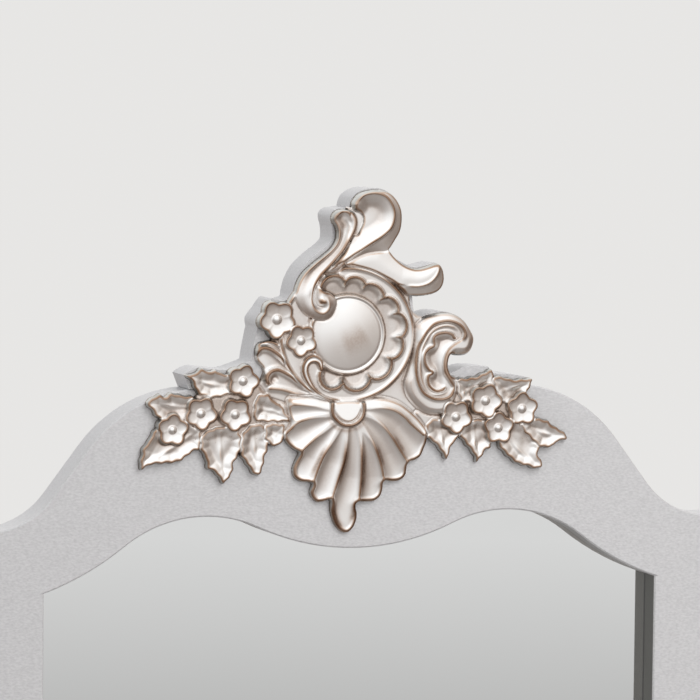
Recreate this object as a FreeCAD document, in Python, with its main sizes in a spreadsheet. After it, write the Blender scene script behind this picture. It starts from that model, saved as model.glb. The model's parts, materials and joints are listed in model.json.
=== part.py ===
"""Wall-hung vanity mirror: a serpentine board frame, a rebated glass and a cast rococo crest.

Millimetres. X runs to the right, the mirror faces -Y and Z is up. The origin is the centre of
the bottom edge, at mid-thickness of the boards.
"""

import FreeCAD, Part
import math
import os

doc = FreeCAD.newDocument("vanity_mirror")

# Driving dimensions
SIZES = {
    # frame boards
    "opening_width": 410,
    "opening_height": 530,
    "stile_width": 50,
    "bottom_rail_width": 60,
    "board_thickness": 25,
    "lip_thickness": 17,
    "rebate_width": 8,
    "clip_run": 70,
    "clip_rise": 40,
    "arris_bevel": 0.9,
    # serpentine top rail
    "dip_radius": 155,
    "peak_radius": 85,
    "sweep_radius": 180,
    "corner_drop": 23.5,
    "shoulder_rise": 16,
    "shoulder_run": 13.5,
    "shoulder_corner_radius": 6,
    "cove_radius": 53,
    "bell_radius": 90,
    "seat_rise": 103,
    # loose tenons
    "tenon_thickness": 8,
    "tenon_width": 30,
    "tenon_length": 40,
    "tenon_end_gap": 0.5,
    "crest_tenon_pitch": 90,
    # glass and backing
    "glass_thickness": 4,
    "pane_clearance": 1,
    # turn buttons and their screws
    "button_width": 12,
    "button_reach": 22,
    "button_thickness": 1.5,
    "button_clearance": 0.3,
    "button_setback": 10,
    "screw_diameter": 3.5,
    "screw_length": 14,
    "screw_head_diameter": 7,
    "screw_head_height": 2.2,
    "running_clearance": 0.08,
    "pilot_clearance": 0.1,
    # hangers
    "hanger_clearance": 76,
    "hanger_plate_width": 14,
    "hanger_plate_length": 17,
    "hanger_plate_thickness": 1.2,
    "hanger_screw_drop": 9.5,
    "ring_wire_diameter": 2.5,
    "ring_width": 26.5,
    "ring_reach": 24.5,
    "ring_corner_radius": 3.5,
    "ring_standoff": 3,
    # wall bumpers
    "bumper_diameter": 12,
    "bumper_thickness": 5,
    "bumper_height": 25,
    # cast crest
    "crest_module": 100,
    "crest_offset": -8,
    "casting_gap": 0.2,
    "dome_rise": 10,
    "ring_rise": 7.5,
    "scroll_rise": 8.5,
    "plume_rise": 7.5,
    "shell_rise": 7.5,
    "clasp_rise": 9.5,
    "rib_rise": 6,
    "leaf_rise": 5,
    "petal_rise": 7.5,
    "bead_rise": 8.5,
    "cut_overrun": 5,
}

sheet = doc.addObject("Spreadsheet::Sheet", "sizes")
for row, (alias, value) in enumerate(SIZES.items(), start=1):
    sheet.set("A%d" % row, alias)
    sheet.set("B%d" % row, str(value))
    sheet.setAlias("B%d" % row, alias)
doc.recompute()


def size(alias):
    """The value of one cell of the sheet, as a plain number."""
    return float(sheet.get(alias))


# Angles, counts and shares
BELL_SLOPE = math.radians(52.9)
PEAK_PLACE_SHARE = 0.2463
STILE_BUTTON_SHARES = (0.3, 0.62)
SEAT_SHARE = 1.03
BUTTON_CORNER_SHARE = 0.45
WIRE_SIDES = 10
PLATE_CORNER_SHARE = 0.5
BOW_STEPS = 6

# Places that follow from the driving dimensions
half_opening = size("opening_width") / 2
outer_edge = half_opening + size("stile_width")
front = -size("board_thickness") / 2
back = size("board_thickness") / 2
dip_z = size("bottom_rail_width") + size("opening_height")
joint_z = dip_z - size("corner_drop")
seat_z = dip_z + size("seat_rise")
shoulder_z = dip_z + size("shoulder_rise")
pane_bottom = size("bottom_rail_width") - size("rebate_width")
arc_sum = size("dip_radius") + size("peak_radius")
peak_x = size("opening_width") * PEAK_PLACE_SHARE
peak_z = dip_z + arc_sum - math.sqrt(arc_sum ** 2 - peak_x ** 2)
rebate_top = peak_z + size("rebate_width")
rebate_half = half_opening + size("rebate_width")
overrun = size("cut_overrun")

sub_parts = []


def keep(item, label):
    """Name a finished sub-part and list it for writing."""
    item.Label = label
    sub_parts.append(item)
    return item


def flat(x, z):
    """A point of a drawing on the XZ plane."""
    return FreeCAD.Vector(x, z, 0)


def line(a, b):
    return Part.LineSegment(flat(*a), flat(*b))


def polygon(points):
    return [line(points[i], points[(i + 1) % len(points)]) for i in range(len(points))]


def arc(centre, radius, start, end):
    """An arc between two angles in radians, drawn anticlockwise."""
    def at(angle):
        return flat(centre[0] + radius * math.cos(angle), centre[1] + radius * math.sin(angle))
    low, high = sorted((start, end))
    return Part.Arc(at(low), at((low + high) / 2), at(high))


def fair(stations, steps):
    """More stations on a smooth curve through the hand-chosen ones."""
    last = len(stations) - 1
    faired = []
    for span in range(last):
        around = [stations[min(max(span + shift, 0), last)] for shift in (-1, 0, 1, 2)]
        for step in range(steps):
            t = step / steps
            before = -t * (1 - t) ** 2 / 2
            after = -t ** 2 * (1 - t) / 2
            end = t ** 2 * (3 - 2 * t)
            weights = (before, 1 - end - after, end - before, after)
            faired.append(tuple(sum(weight * station[axis] for weight, station in zip(weights, around))
                                for axis in range(len(stations[span]))))
    faired.append(stations[last])
    return faired


def curve(points):
    """A chain of arcs through hand-chosen points, nearly tangent where they meet."""
    middles = fair(points, 2)[1::2]
    arcs = []
    for start, middle, end in zip(points, middles, points[1:]):
        turn = (middle[0] - start[0]) * (end[1] - start[1]) - (middle[1] - start[1]) * (end[0] - start[0])
        first, last = (start, end) if turn > 0 else (end, start)
        arcs.append(Part.Arc(flat(*first), flat(*middle), flat(*last)))
    return arcs


def flat_face(points):
    return Part.Face(Part.makePolygon(list(points) + [points[0]]))


def through(sections, ends=True):
    """A solid through like sections of points; skewed sides are split into two flat triangles."""
    faces = [flat_face(sections[0]), flat_face(sections[-1])] if ends else []
    for low, high in zip(sections, sections[1:]):
        for index in range(len(low)):
            after = (index + 1) % len(low)
            faces.append(flat_face((low[index], low[after], high[after])))
            faces.append(flat_face((low[index], high[after], high[index])))
    shell = Part.makeShell(faces)
    shell.sewShape()
    solid = Part.makeSolid(shell).removeSplitter()
    if solid.Volume < 0:
        solid.reverse()
    return solid


def plane_of(body, role):
    return [item for item in body.Origin.OriginFeatures if item.Role == role][0]


def new_sketch(body, name, role, offset=None):
    """A sketch on one of the body's own origin planes, set off by an expression."""
    sketch = body.newObject("Sketcher::SketchObject", name)
    sketch.AttachmentSupport = [(plane_of(body, role), "")]
    sketch.MapMode = "FlatFace"
    if offset:
        sketch.setExpression("AttachmentOffset.Base.z", offset)
    return sketch


def rectangle(left, low, right, high):
    return polygon([(left, low), (right, low), (right, high), (left, high)])


def circles(places, radius):
    axis = FreeCAD.Vector(0, 0, 1)
    return [Part.Circle(flat(*place), axis, radius) for place in places]


def pocket_through(body, name, role, offset, shapes, length):
    """Cut to both sides of a plane that lies on the face, so that one side is the depth."""
    sketch = new_sketch(body, name + "_sketch", role, offset)
    sketch.addGeometry(shapes)
    doc.recompute()
    pocket = body.newObject("PartDesign::Pocket", name)
    pocket.Profile = sketch
    pocket.SideType = "Symmetric"
    pocket.setExpression("Length", length)
    doc.recompute()
    return pocket


def board(label, outline):
    """A board cut to an outline on the XZ plane, centred on its thickness."""
    body = doc.addObject("PartDesign::Body", label)
    sketch = new_sketch(body, label + "_outline", "XZ_Plane")
    sketch.addGeometry(outline)
    doc.recompute()
    pad = body.newObject("PartDesign::Pad", label + "_pad")
    pad.Profile = sketch
    pad.SideType = "Symmetric"
    pad.setExpression("Length", "sizes.board_thickness")
    doc.recompute()
    return keep(body, label)


def ease_front(body, joins):
    """Bevel the front arris, except along the joints listed as tests on an edge's middle."""
    solid = body.Tip
    names = []
    for index, edge in enumerate(solid.Shape.Edges, start=1):
        middle = edge.valueAt((edge.FirstParameter + edge.LastParameter) / 2)
        ends = [vertex.Point.y for vertex in edge.Vertexes]
        on_front = all(abs(y - front) < Part.Precision.confusion() for y in ends)
        if on_front and not any(join(middle) for join in joins):
            names.append("Edge%d" % index)
    bevel = body.newObject("PartDesign::Chamfer", body.Label + "_arris")
    bevel.Base = (solid, names)
    bevel.setExpression("Size", "sizes.arris_bevel")
    doc.recompute()


def near(value, target):
    return abs(value - target) < Part.Precision.confusion() * abs(target)


# Serpentine top rail
def arch_half():
    """Right half of the arch over the glass, from the dip to the side of the opening."""
    dip = (0, dip_z + size("dip_radius"))
    peak = (peak_x, peak_z - size("peak_radius"))
    lean = math.atan2(peak[1] - dip[1], peak[0] - dip[0])
    reach = math.hypot(half_opening - peak[0], joint_z - peak[1])
    corner_angle = math.atan2(joint_z - peak[1], half_opening - peak[0])
    radii = size("peak_radius") + size("sweep_radius")
    spread = (radii ** 2 + reach ** 2 - size("sweep_radius") ** 2) / (2 * radii * reach)
    tangent = corner_angle + math.acos(spread)
    sweep = (peak[0] + radii * math.cos(tangent), peak[1] + radii * math.sin(tangent))
    return [
        arc(dip, size("dip_radius"), -math.pi / 2, lean),
        arc(peak, size("peak_radius"), lean + math.pi, tangent),
        arc(sweep, size("sweep_radius"), tangent - math.pi,
            math.atan2(joint_z - sweep[1], half_opening - sweep[0])),
    ]


def bell_half():
    """Right half of the outer top edge, from the side joint up to the flat crest seat."""
    corner = size("shoulder_corner_radius")
    cove_x = outer_edge - size("shoulder_run")
    radii = size("cove_radius") + size("bell_radius")
    drop = seat_z - shoulder_z - radii * (1 - math.cos(BELL_SLOPE))
    straight = drop / math.sin(BELL_SLOPE)
    seat_x = cove_x - radii * math.sin(BELL_SLOPE) - straight * math.cos(BELL_SLOPE)
    cove = (cove_x, shoulder_z + size("cove_radius"))
    bell = (seat_x, seat_z - size("bell_radius"))
    down = -math.pi / 2
    up = math.pi / 2
    cove_end = (cove[0] - size("cove_radius") * math.sin(BELL_SLOPE),
                cove[1] - size("cove_radius") * math.cos(BELL_SLOPE))
    bell_end = (bell[0] + size("bell_radius") * math.sin(BELL_SLOPE),
                bell[1] + size("bell_radius") * math.cos(BELL_SLOPE))
    return [
        line((half_opening, joint_z), (outer_edge, joint_z)),
        line((outer_edge, joint_z), (outer_edge, shoulder_z - corner)),
        arc((outer_edge - corner, shoulder_z - corner), corner, 0, up),
        line((outer_edge - corner, shoulder_z), (cove_x, shoulder_z)),
        arc(cove, size("cove_radius"), down, down - BELL_SLOPE),
        line(cove_end, bell_end),
        arc(bell, size("bell_radius"), up - BELL_SLOPE, up),
        line((seat_x, seat_z), (0, seat_z)),
    ]


def mirrored(edges):
    """The same edges on the other side of the centre line."""
    copies = []
    for edge in edges:
        middle = edge.value((edge.FirstParameter + edge.LastParameter) / 2)
        start, through, end = [FreeCAD.Vector(-p.x, p.y, p.z)
                               for p in (edge.StartPoint, middle, edge.EndPoint)]
        if isinstance(edge, Part.LineSegment):
            copies.append(Part.LineSegment(end, start))
        else:
            copies.append(Part.Arc(end, through, start))
    return copies


stile_centre = half_opening + size("stile_width") / 2
rail_centre = (size("bottom_rail_width") - size("rebate_width")) / 2
half_tenon = size("tenon_width") / 2
half_thick = size("tenon_thickness") / 2
crest_pitch = size("crest_tenon_pitch")
crest_tenons = [size("crest_offset") + step * crest_pitch / 2 for step in (-1, 1)]
mortise_depth = "sizes.tenon_length + 2 * sizes.tenon_end_gap"
joint_offset = "sizes.bottom_rail_width + sizes.opening_height - sizes.corner_drop"
seat_offset = "sizes.bottom_rail_width + sizes.opening_height + sizes.seat_rise"
back_offset = "-sizes.board_thickness / 2"
rebate_depth = "2 * (sizes.board_thickness - sizes.lip_thickness)"
screw_depth = "2 * sizes.screw_length"
pilot = size("screw_diameter") / 2 + size("pilot_clearance")


def upright_mortise(x):
    return rectangle(x - half_tenon, -half_thick, x + half_tenon, half_thick)


side_mortise = rectangle(-half_thick, rail_centre - half_tenon, half_thick, rail_centre + half_tenon)

# Places of the turn buttons: each screw, and the way its tongue points at rest
button_line = rebate_half + size("button_setback")
stile_heights = [joint_z * share for share in STILE_BUTTON_SHARES]
BUTTONS = {
    "turn_button_left_lower": (-button_line, stile_heights[0], 0),
    "turn_button_left_upper": (-button_line, stile_heights[1], 0),
    "turn_button_right_lower": (button_line, stile_heights[0], 180),
    "turn_button_right_upper": (button_line, stile_heights[1], 180),
    "turn_button_top": (0, rebate_top + size("button_setback"), 270),
    "turn_button_bottom": (0, pane_bottom - size("button_setback"), 90),
}
hanger_z = joint_z - size("tenon_length") / 2 - size("tenon_end_gap") - size("hanger_clearance")
hanger_screw_z = hanger_z - size("hanger_screw_drop")


def clipped(half, low, top):
    """The outline of the glass or its rebate, with the two top corners clipped."""
    shoulder = half - size("clip_run")
    return [(-half, low), (half, low), (half, top - size("clip_rise")), (shoulder, top),
            (-shoulder, top), (-half, top - size("clip_rise"))]


right_half = arch_half() + bell_half()
top_rail = board("top_rail", right_half + mirrored(right_half))
pocket_through(top_rail, "top_rebate", "XZ_Plane", back_offset,
               polygon(clipped(rebate_half, joint_z - overrun, rebate_top)), rebate_depth)
for side in (-1, 1):
    pocket_through(top_rail, "top_rail_mortise", "XY_Plane", joint_offset,
                   upright_mortise(side * stile_centre), mortise_depth)
for x in crest_tenons:
    pocket_through(top_rail, "seat_mortise", "XY_Plane", seat_offset, upright_mortise(x), mortise_depth)
pocket_through(top_rail, "top_pilot_hole", "XZ_Plane", back_offset,
               circles([BUTTONS["turn_button_top"][:2]], pilot), screw_depth)
ease_front(top_rail, [lambda p: near(p.z, joint_z), lambda p: near(p.z, seat_z)])

# Stiles
for side, label in ((-1, "left_stile"), (1, "right_stile")):
    inner = side * half_opening
    outer = side * outer_edge
    lip = side * rebate_half
    stile = board(label, rectangle(min(inner, outer), 0, max(inner, outer), joint_z))
    inside = inner - side * overrun
    pocket_through(stile, label + "_rebate", "XZ_Plane", back_offset,
                   rectangle(min(inside, lip), pane_bottom, max(inside, lip), joint_z + overrun),
                   rebate_depth)
    pocket_through(stile, label + "_top_mortise", "XY_Plane", joint_offset,
                   upright_mortise(side * stile_centre), mortise_depth)
    pocket_through(stile, label + "_side_mortise", "YZ_Plane",
                   "%d * sizes.opening_width / 2" % side, side_mortise, mortise_depth)
    screws = [(side * button_line, height) for height in stile_heights]
    screws.append((side * stile_centre, hanger_screw_z))
    pocket_through(stile, label + "_pilot_holes", "XZ_Plane", back_offset,
                   circles(screws, pilot), screw_depth)
    ease_front(stile, [lambda p: near(p.z, joint_z), lambda p: p.z < size("bottom_rail_width") and
                       near(abs(p.x), half_opening)])

# Bottom rail
bottom_rail = board("bottom_rail", rectangle(-half_opening, 0, half_opening, size("bottom_rail_width")))
pocket_through(bottom_rail, "bottom_rebate", "XZ_Plane", back_offset,
               rectangle(-half_opening - overrun, pane_bottom, half_opening + overrun,
                         size("bottom_rail_width") + overrun), rebate_depth)
for side in (-1, 1):
    pocket_through(bottom_rail, "bottom_side_mortise", "YZ_Plane",
                   "%d * sizes.opening_width / 2" % side, side_mortise, mortise_depth)
pocket_through(bottom_rail, "bottom_pilot_hole", "XZ_Plane", back_offset,
               circles([BUTTONS["turn_button_bottom"][:2]], pilot), screw_depth)
ease_front(bottom_rail, [lambda p: near(abs(p.x), half_opening)])


# Crest drawing: shares of the crest module, from the ornament's axis and the dip of the arch
def on_crest(point):
    """A point of the crest drawing, kept in place at the seat when the module changes."""
    x = size("crest_offset") + point[0] * size("crest_module")
    z = seat_z + (point[1] - SEAT_SHARE) * size("crest_module")
    return (x, z)


BACKBOARD_SHARES = [
    [(-1.04, 1.03), (-1.075, 1.12)],
    [(-1.075, 1.12), (-0.98, 1.165), (-0.80, 1.145), (-0.635, 1.20)],
    [(-0.635, 1.20), (-0.62, 1.29), (-0.595, 1.41)],
    [(-0.595, 1.41), (-0.60, 1.465), (-0.55, 1.53), (-0.50, 1.595), (-0.44, 1.578), (-0.37, 1.595)],
    [(-0.37, 1.595), (-0.35, 1.69), (-0.29, 1.80), (-0.18, 1.895), (-0.105, 1.96), (-0.11, 2.06)],
    [(-0.11, 2.06), (-0.12, 2.115), (-0.08, 2.155), (0.005, 2.165)],
    [(0.005, 2.165), (0.025, 2.23), (0.09, 2.275), (0.17, 2.288), (0.25, 2.272), (0.32, 2.205),
     (0.347, 2.10), (0.31, 1.98), (0.245, 1.895)],
    [(0.245, 1.895), (0.33, 1.835), (0.43, 1.787), (0.50, 1.79), (0.585, 1.812)],
    [(0.585, 1.812), (0.625, 1.77), (0.63, 1.69), (0.58, 1.63), (0.50, 1.613), (0.435, 1.605)],
    [(0.435, 1.605), (0.445, 1.52), (0.465, 1.44)],
    [(0.465, 1.44), (0.54, 1.488), (0.64, 1.502), (0.74, 1.47), (0.815, 1.385), (0.837, 1.315),
     (0.81, 1.25), (0.745, 1.226), (0.678, 1.232)],
    [(0.678, 1.232), (0.662, 1.17), (0.705, 1.103)],
    [(0.705, 1.103), (0.76, 1.13), (0.84, 1.15), (0.96, 1.143)],
    [(0.96, 1.143), (1.00, 1.10), (1.12, 1.093), (1.245, 1.068)],
    [(1.245, 1.068), (1.23, 1.03)],
    [(1.23, 1.03), (-1.04, 1.03)],
]

strokes = [[on_crest(point) for point in stroke] for stroke in BACKBOARD_SHARES]
backboard_edges = []
for stroke in strokes:
    backboard_edges += [line(*stroke)] if len(stroke) == 2 else curve(stroke)
crest_backboard = board("crest_backboard", backboard_edges)
for x in crest_tenons:
    pocket_through(crest_backboard, "crest_mortise", "XY_Plane", seat_offset, upright_mortise(x),
                   mortise_depth)


# Loose tenons across the joints
RIGHT = FreeCAD.Vector(1, 0, 0)
OUT = FreeCAD.Vector(0, 1, 0)
half_length = size("tenon_length") / 2


def tenon(x, z, half_x, half_z):
    return Part.makeBox(2 * half_x, size("tenon_thickness"), 2 * half_z,
                        FreeCAD.Vector(x - half_x, -half_thick, z - half_z))


def group(label, solids):
    """Separate like pieces under one name."""
    item = doc.addObject("Part::Feature", label)
    item.Shape = Part.makeCompound(solids)
    return keep(item, label)


corner_tenons = [tenon(side * stile_centre, joint_z, half_tenon, half_length) for side in (-1, 1)]
corner_tenons += [tenon(side * half_opening, rail_centre, half_length, half_tenon) for side in (-1, 1)]
group("corner_tenons", corner_tenons)
group("crest_tenons", [tenon(x, seat_z, half_tenon, half_length) for x in crest_tenons])


# Glass and backing board, both resting on the ledge of the bottom rebate
def pane(label, depth, thickness):
    body = doc.addObject("PartDesign::Body", label)
    sketch = new_sketch(body, label + "_outline", "XZ_Plane")
    gap = size("pane_clearance")
    sketch.addGeometry(polygon(clipped(rebate_half - gap, pane_bottom, rebate_top - gap)))
    doc.recompute()
    pad = body.newObject("PartDesign::Pad", label + "_pad")
    pad.Profile = sketch
    pad.setExpression("Length", thickness)
    pad.Reversed = True
    body.setExpression("Placement.Base.y", depth)
    doc.recompute()
    return keep(body, label)


glass_depth = "-sizes.board_thickness / 2 + sizes.lip_thickness"
pane("mirror_glass", glass_depth, "sizes.glass_thickness")
pane("backing_board", glass_depth + " + sizes.glass_thickness",
     "sizes.board_thickness - sizes.lip_thickness - sizes.glass_thickness")


# Turn buttons: flat tongues that turn on a screw
def turn_button(label, x, z, turn):
    body = doc.addObject("PartDesign::Body", label)
    radius = size("button_width") / 2
    far = size("button_reach") - radius
    hole = (size("screw_diameter") / 2) + size("running_clearance")
    sketch = new_sketch(body, label + "_outline", "XZ_Plane")
    cut = radius * BUTTON_CORNER_SHARE
    outline = [(-cut, -radius), (far, -radius), (far + radius, -cut), (far + radius, cut),
               (far, radius), (-cut, radius), (-radius, cut), (-radius, -cut)]
    sketch.addGeometry(polygon(outline) + circles([(0, 0)], hole))
    doc.recompute()
    pad = body.newObject("PartDesign::Pad", label + "_pad")
    pad.Profile = sketch
    pad.setExpression("Length", "sizes.button_thickness")
    pad.Reversed = True
    doc.recompute()
    spin = FreeCAD.Rotation(FreeCAD.Vector(0, -1, 0), turn)
    body.Placement = FreeCAD.Placement(FreeCAD.Vector(x, back + size("button_clearance"), z), spin)
    return keep(body, label)


def ring_of(x, y, z, radius):
    """A many-sided ring of points round an axis along Y."""
    steps = [2 * math.pi * index / WIRE_SIDES for index in range(WIRE_SIDES)]
    return [FreeCAD.Vector(x + radius * math.cos(step), y, z + radius * math.sin(step)) for step in steps]


def screw(x, z, head_y):
    """A round-headed screw driven into the back, with its head's underside at head_y."""
    radius = size("screw_diameter") / 2
    head = size("screw_head_diameter") / 2
    rise = size("screw_head_height")
    tip = head_y - size("screw_length")
    profile = [(tip, radius / 2), (tip + radius, radius), (head_y, radius), (head_y, head),
               (head_y + rise / 2, head), (head_y + rise, head / 2)]
    return through([ring_of(x, y, z, reach) for y, reach in profile])


button_top = back + size("button_clearance") + size("button_thickness")
for label, (x, z, turn) in BUTTONS.items():
    turn_button(label, x, z, turn)
group("turn_button_screws", [screw(x, z, button_top + size("running_clearance"))
                             for x, z, turn in BUTTONS.values()])

# Hangers: a strap with a knuckle, and a D ring that swings in it
wire_radius = size("ring_wire_diameter") / 2
knuckle_bore = wire_radius + size("running_clearance")
knuckle_radius = knuckle_bore + size("hanger_plate_thickness")
ring_y = back + size("ring_standoff")


def hanger_plate(label, x):
    """A strap with cut corners, folded into a knuckle along its top edge."""
    half = size("hanger_plate_width") / 2
    top = hanger_z
    low = top - size("hanger_plate_length")
    cut = half * PLATE_CORNER_SHARE
    outline = [(x - half, top), (x - half, low + cut), (x - half + cut, low), (x + half - cut, low),
               (x + half, low + cut), (x + half, top)]
    strap = flat_face([FreeCAD.Vector(px, back, pz) for px, pz in outline])
    strap = strap.extrude(OUT * size("hanger_plate_thickness"))
    ring = [FreeCAD.Vector(0, point.x, point.z) for point in ring_of(0, 0, 0, knuckle_radius)]
    left = FreeCAD.Vector(x - half, ring_y, top)
    knuckle = flat_face([left + point for point in ring]).extrude(RIGHT * (2 * half))
    bore = Part.makeCylinder(knuckle_bore, 2 * half, left, RIGHT)
    hole = Part.makeCylinder(pilot, size("hanger_plate_thickness"),
                             FreeCAD.Vector(x, back, hanger_screw_z), OUT)
    item = doc.addObject("Part::Feature", label)
    item.Shape = strap.fuse(knuckle).removeSplitter().cut([bore, hole])
    return keep(item, label)


def hanger_ring(label, x):
    """The ring hangs down: its straight bar turns in the knuckle, its bow is a bent half circle."""
    half = size("ring_width") / 2
    corner = size("ring_corner_radius")
    leg = size("ring_reach") - half
    path = [(-half, -corner), (-half + corner, 0), (half - corner, 0), (half, -corner)]
    for index in range(BOW_STEPS + 1):
        angle = math.pi * index / BOW_STEPS
        path.append((half * math.cos(angle), -leg - half * math.sin(angle)))
    sections = []
    for index, place in enumerate(path):
        before = path[index - 1]
        after = path[(index + 1) % len(path)]
        heading = math.atan2(place[1] - before[1], place[0] - before[0])
        turn = math.remainder(math.atan2(after[1] - place[1], after[0] - place[0]) - heading, 2 * math.pi)
        outward = heading + turn / 2 + math.pi / 2
        stretch = 1 / math.cos(turn / 2)
        sections.append([
            FreeCAD.Vector(x + place[0] + point.x * stretch * math.cos(outward), ring_y + point.z,
                           hanger_z + place[1] + point.x * stretch * math.sin(outward))
            for point in ring_of(0, 0, 0, wire_radius)
        ])
    item = doc.addObject("Part::Feature", label)
    item.Shape = through(sections + sections[:1], ends=False)
    return keep(item, label)


HANGERS = {"left": -stile_centre, "right": stile_centre}
for name, x in HANGERS.items():
    hanger_plate("hanger_plate_" + name, x)
    hanger_ring("hanger_ring_" + name, x)
plate_top = back + size("hanger_plate_thickness")
group("hanger_screws", [screw(x, hanger_screw_z, plate_top) for x in HANGERS.values()])

# Rubber bumpers that keep the lower corners off the wall
group("wall_bumpers", [
    Part.makeCylinder(size("bumper_diameter") / 2, size("bumper_thickness"),
                      FreeCAD.Vector(x, back, size("bumper_height")), OUT)
    for x in HANGERS.values()
])


# Crest castings, each bedded on the front of the boards
WALL_SHARE = 0.22
DISH_SHARES = ((0.4, 0.3), (-0.4, 0.3))
TIP_RISE_SHARE = 0.55
SLIVER_SHARE = 0.02


def strip_frames(stations):
    """Centre, left-hand normal and half width along a strip, in millimetres."""
    centres = [on_crest(station) for station in stations]
    frames = []
    for index, centre in enumerate(centres):
        before = centres[max(index - 1, 0)]
        after = centres[min(index + 1, len(centres) - 1)]
        run = math.hypot(after[0] - before[0], after[1] - before[1])
        normal = (-(after[1] - before[1]) / run, (after[0] - before[0]) / run)
        frames.append((centre, normal, stations[index][2] * size("crest_module")))
    return frames


def raised(centre, normal, across, rise):
    """A point of a casting's section: across its strip, and forward of the board."""
    return FreeCAD.Vector(centre[0] + normal[0] * across, front - rise, centre[1] + normal[1] * across)


def strip(stations, rise):
    """A casting with sloping walls and a dished top, lofted along its strip."""
    frames = strip_frames(stations)
    widest = max(width for centre, normal, width in frames)
    sections = []
    for centre, normal, width in frames:
        top = rise * (TIP_RISE_SHARE + (1 - TIP_RISE_SHARE) * width / widest)
        rim = width * (1 - WALL_SHARE)
        profile = [(width, 0), (rim, top)]
        profile += [(rim * across, top - rim * depth) for across, depth in DISH_SHARES]
        profile += [(-rim, top), (-width, 0)]
        sections.append([raised(centre, normal, across, height) for across, height in profile])
    return through(sections)


def strip_plan(stations, height):
    """The strip's plan as an upright block, a casting gap larger, to cut its neighbours with."""
    gap = size("casting_gap")
    frames = strip_frames(stations)
    left = [raised(centre, normal, width + gap, 0) for centre, normal, width in frames]
    right = [raised(centre, normal, -width - gap, 0) for centre, normal, width in frames]
    outline = left + right[::-1]
    face = Part.Face(Part.makePolygon(outline + outline[:1]))
    return face.extrude(FreeCAD.Vector(0, -height, 0))


# Stations of the crest strips: place across, place up and half width, all as shares
S_SCROLL_SHARES = [
    (-0.060, 2.150, 0.030), (-0.042, 2.095, 0.076), (-0.038, 2.035, 0.066), (-0.045, 1.975, 0.058),
    (-0.100, 1.897, 0.058), (-0.175, 1.833, 0.066), (-0.240, 1.770, 0.068), (-0.292, 1.700, 0.060),
    (-0.320, 1.625, 0.051), (-0.312, 1.555, 0.045), (-0.268, 1.502, 0.043), (-0.205, 1.485, 0.042),
    (-0.150, 1.512, 0.040), (-0.127, 1.565, 0.034), (-0.152, 1.612, 0.026),
]
TOP_PLUME_SHARES = [
    (-0.130, 1.803, 0.010), (-0.070, 1.842, 0.024), (-0.012, 1.878, 0.040), (0.052, 1.920, 0.060),
    (0.125, 1.955, 0.088), (0.185, 2.010, 0.114), (0.215, 2.090, 0.128), (0.190, 2.180, 0.112),
    (0.100, 2.228, 0.056), (0.035, 2.200, 0.034),
]
SIDE_PLUME_SHARES = [
    (-0.110, 1.812, 0.010), (-0.045, 1.832, 0.022), (0.045, 1.842, 0.040), (0.135, 1.837, 0.062),
    (0.230, 1.815, 0.077), (0.310, 1.765, 0.080), (0.385, 1.718, 0.082), (0.455, 1.700, 0.088),
    (0.530, 1.708, 0.090), (0.588, 1.735, 0.072), (0.622, 1.770, 0.036),
]
C_SCROLL_SHARES = [
    (0.741, 1.260, 0.030), (0.783, 1.323, 0.050), (0.745, 1.420, 0.058), (0.647, 1.440, 0.066),
    (0.555, 1.386, 0.090), (0.502, 1.288, 0.112), (0.492, 1.185, 0.118), (0.504, 1.078, 0.110),
    (0.563, 0.969, 0.082), (0.661, 0.936, 0.054), (0.737, 0.985, 0.038), (0.734, 1.049, 0.026),
]
RIB_SHARES = [
    [(-0.310, 1.100, 0.018), (-0.350, 1.180, 0.028), (-0.405, 1.243, 0.034), (-0.475, 1.288, 0.038),
     (-0.550, 1.300, 0.040), (-0.605, 1.268, 0.036), (-0.628, 1.212, 0.022)],
    [(-0.300, 1.050, 0.030), (-0.360, 1.110, 0.048), (-0.430, 1.160, 0.062), (-0.510, 1.190, 0.064),
     (-0.575, 1.170, 0.044)],
    [(-0.270, 1.000, 0.030), (-0.330, 1.045, 0.040), (-0.400, 1.090, 0.044), (-0.465, 1.118, 0.042),
     (-0.520, 1.105, 0.036), (-0.532, 1.055, 0.028), (-0.498, 1.032, 0.016)],
    [(-0.120, 0.935, 0.022), (-0.220, 0.958, 0.040), (-0.330, 0.985, 0.046), (-0.420, 0.985, 0.040),
     (-0.500, 0.965, 0.026)],
    [(0.140, 0.935, 0.022), (0.240, 0.955, 0.046), (0.340, 0.930, 0.056), (0.440, 0.880, 0.046),
     (0.540, 0.850, 0.026)],
]
FLUTE_SHARES = [
    [(-0.110, 0.885, 0.020), (-0.240, 0.893, 0.034), (-0.400, 0.885, 0.044)],
    [(-0.100, 0.820, 0.024), (-0.230, 0.775, 0.058), (-0.360, 0.733, 0.088), (-0.440, 0.715, 0.070)],
    [(-0.075, 0.770, 0.024), (-0.170, 0.665, 0.060), (-0.265, 0.575, 0.090), (-0.325, 0.515, 0.080)],
    [(-0.030, 0.735, 0.024), (-0.090, 0.580, 0.060), (-0.150, 0.450, 0.086), (-0.190, 0.365, 0.074)],
    [(0.020, 0.730, 0.024), (0.010, 0.580, 0.060), (0.000, 0.430, 0.082), (-0.012, 0.310, 0.080),
     (-0.020, 0.215, 0.082), (-0.010, 0.140, 0.048)],
    [(0.070, 0.735, 0.024), (0.115, 0.580, 0.060), (0.155, 0.450, 0.084), (0.172, 0.355, 0.072)],
    [(0.110, 0.770, 0.024), (0.195, 0.665, 0.060), (0.280, 0.565, 0.090), (0.335, 0.505, 0.080)],
    [(0.130, 0.825, 0.024), (0.260, 0.770, 0.058), (0.385, 0.705, 0.090), (0.460, 0.660, 0.080)],
    [(0.130, 0.890, 0.020), (0.270, 0.875, 0.036), (0.390, 0.830, 0.050), (0.470, 0.785, 0.044)],
]
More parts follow.
